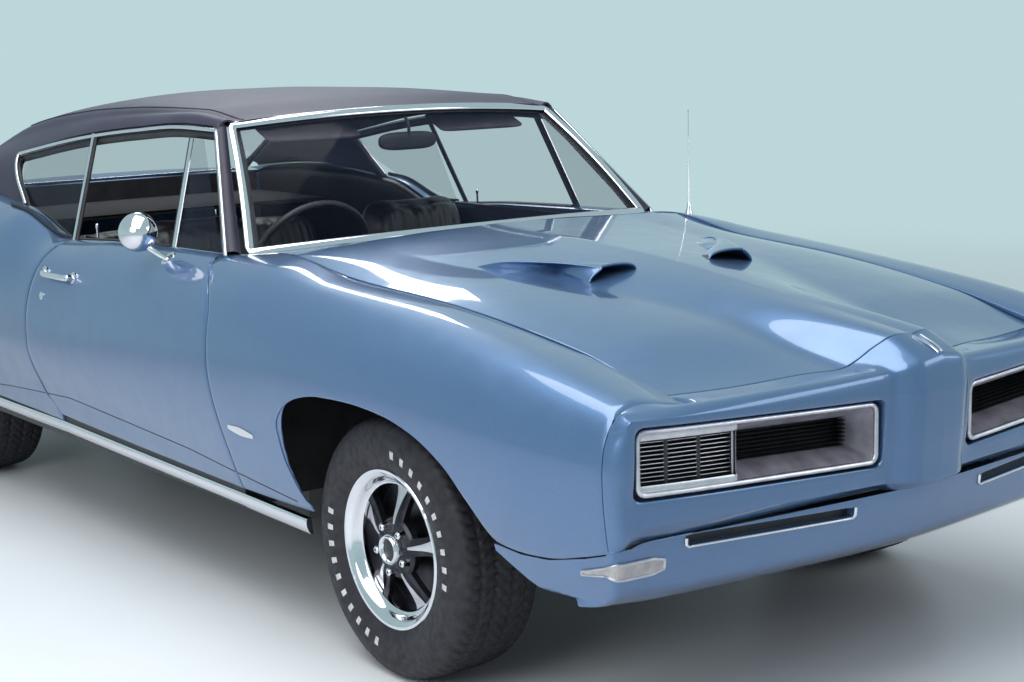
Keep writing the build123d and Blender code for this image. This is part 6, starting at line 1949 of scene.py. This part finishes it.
# %% Dashboard
DASH_SECTION = [
    (-0.792, 0.925), (-0.775, 0.944), (-0.730, 0.955), (-0.665, 0.957), (-0.622, 0.948), (-0.602, 0.928),
    (-0.600, 0.905), (-0.612, 0.888), (-0.628, 0.880), (-0.634, 0.850), (-0.640, 0.800), (-0.652, 0.780),
    (-0.664, 0.752), (-0.700, 0.742), (-0.85, 0.742), (-0.88, 0.80), (-0.88, 0.87), (-0.82, 0.905),
    (-0.792, 0.925),
]
DIALS = [(-0.505, 0.040), (-0.40, 0.052), (-0.28, 0.052), (-0.175, 0.040)]
KNOB = [(-0.01, 0), (-0.01, 0.013), (0.014, 0.012), (0.018, 0.009), (0.018, 0)]
DASH_FACING, STRIP_Z = (0, 1, 0.12), 0.862


def dash_bow(x):
    """How far the dashboard's face lies ahead at some x: it grows with the square of x."""
    return -0.022 * (x / 0.69) ** 2


dash_x = np.linspace(-0.688, 0.688, 60)[:, None]
dash_y, dash_z = traced(DASH_SECTION, np.linspace(0, 1, 90))[:-1].T
dash = join(dash_x, dash_y + dash_bow(dash_x) * (dash_y > -0.72), dash_z)
put(Mesh().tube(capped(dash)), "dash_body", BLACK, replaces=("dashboard",), sharp=50)
dials, dial_faces = Mesh(), Mesh()
for x, radius in DIALS:
    place = (x, -0.633, 0.834)
    # Profiles: how far along the axis, and how much wider than the dial
    bezel = [(-0.01, 0.006), (0.004, 0.006), (0.008, 0.002), (0.004, -0.002), (-0.008, -0.003)]
    disc_form(dials, np.add(bezel, (0, radius)), place, DASH_FACING, 36)
    dial_face = [(-0.012, 0), (-0.012, radius + 0.003), (-0.002, radius), (-0.002, 0)]
    disc_form(dial_faces, dial_face, place, DASH_FACING, 36)
for x in (0.05, 0.12, 0.19):
    disc_form(dials, KNOB, (x, -0.631, 0.820), DASH_FACING, 20)
strip_x = np.linspace(0.26, 0.64, 20)
rod(dials, join(strip_x, dash_bow(strip_x) - 0.6315, 0 * strip_x + STRIP_Z), 0.004, 0.006, count=8)
put(dials, "dash_dials", SILVER)
put(dial_faces, "dash_dial_faces", BLACK)

# %% Steering wheel
HAND_CENTRE, HAND_RADIUS, HAND_RAKE = np.array([-0.38, -0.463, 0.879]), 0.200, math.radians(25)
HAND_AXIS = np.array([0, math.cos(HAND_RAKE), math.sin(HAND_RAKE)])
HAND_UP = np.array([0, -math.sin(HAND_RAKE), math.cos(HAND_RAKE)])
HAND_SIDE = np.array([1.0, 0, 0])
HAND_HUB = [(-0.030, 0), (-0.030, 0.030), (-0.010, 0.040), (0.006, 0.042), (0.016, 0.038), (0.022, 0.024), (0.024, 0)]
HAND_SPOKES, SPOKE_START = (210, -30), 0.036


def on_wheel(angle, radius, lift):
    """Point of the steering wheel's plane at an angle and radius, lifted towards the driver."""
    angle, radius, lift = (np.asarray(a, float)[..., None] for a in np.broadcast_arrays(angle, radius, lift))
    return HAND_CENTRE + radius * (np.cos(angle) * HAND_SIDE + np.sin(angle) * HAND_UP) + lift * HAND_AXIS


rim_turn = np.linspace(0, 2 * math.pi, 120, endpoint=False)[:, None]
tube_turn = np.linspace(0, 2 * math.pi, 14, endpoint=False)[None]
grip = 0.0105 + 0.0007 * np.cos(rim_turn * 60) * (abs(np.sin(rim_turn * 1.5)) > 0.25)
rim_grid = on_wheel(rim_turn, HAND_RADIUS + grip * np.cos(tube_turn), grip * np.sin(tube_turn))
wheel_rim = disc_form(Mesh().tube(rim_grid, close_rows=True), HAND_HUB, HAND_CENTRE, HAND_AXIS, 40)
put(wheel_rim, "hand_rim", BLACK, body="steering_wheel", replaces=("steering_wheel",))
arms, along, across = Mesh(), np.linspace(0, 1, 20)[:, None], np.linspace(-1, 1, 7)[None]
for angle in np.radians(HAND_SPOKES):
    radius = SPOKE_START + (HAND_RADIUS - 0.004 - SPOKE_START) * along
    half = (0.021 - 0.006 * along) * across
    lift = -0.004 - 0.006 * (1 - along) + 0.002 * np.cos(1.5 * across)
    arms.grid(on_wheel(angle + half / radius, radius, lift), away=HAND_CENTRE - HAND_AXIS)
put(arms, "hand_spokes", SILVER, body="steering_wheel", thickness=0.003)

# %% Visors, inner mirror and door trims
VISOR_LEAN, VISOR_X, VISOR_YZ = 0.42, 0.315, (-0.372, 1.268)
visors = Mesh()
for _, mirror in SIDES:
    shape = leaned(pad_shape((0.165, 0.060, 0.010), 0.2, 24, 64), VISOR_LEAN)
    visors.tube(shape + (mirror * VISOR_X, *VISOR_YZ))
put(visors, "sun_visors", HEADLINER)
inner_mirror = Mesh().tube(pad_shape((0.105, 0.012, 0.028), 0.3, 24, 64) + (0, -0.448, 1.222))
stem = traced([(0, -0.455, 1.235), (0, -0.458, 1.262), (0, -0.440, 1.296)], np.linspace(0, 1, 10))
put(rod(inner_mirror, stem, 0.012, 0.010, up=(1, 0, 0), count=10), "inner_mirror", BLACK)
CRANK = [
    (0.752, -0.34, 0.60), (0.738, -0.34, 0.60), (0.734, -0.33, 0.585), (0.734, -0.27, 0.565), (0.724, -0.265, 0.563),
]
ARM_REST = pad_shape((0.028, 0.17, 0.026), 0.35, 24, 64) + (0.742, -0.08, 0.655)
trim_y, trim_z = np.linspace(-0.80, 0.325, 46)[None], np.linspace(0.42, 0.925, 40)[:, None]
trim_x = np.interp(trim_z, (0.80, 0.93), (0.776, 0.740)) - 0.010 - pleats(trim_y, trim_z)
panel = hem(join(trim_x, trim_y, trim_z), (-1, 0, 0), 0.003, (0.009,) * 4)
for side, mirror in SIDES:
    way, door = (mirror, 1, 1), f"door_{side}"
    trim = Mesh().grid(panel * way, away=(mirror * 0.9, -0.2, 0.65)).tube(ARM_REST * way)
    put(trim, f"door_trim_{side}", SEAT, body=door)
    crank = rod(Mesh(), traced(CRANK, np.linspace(0, 1, 22)) * way, 0.010, 0.010, up=(0, 0.3, 1), count=10)
    put(crank, f"window_crank_{side}", CHROME, body=door)
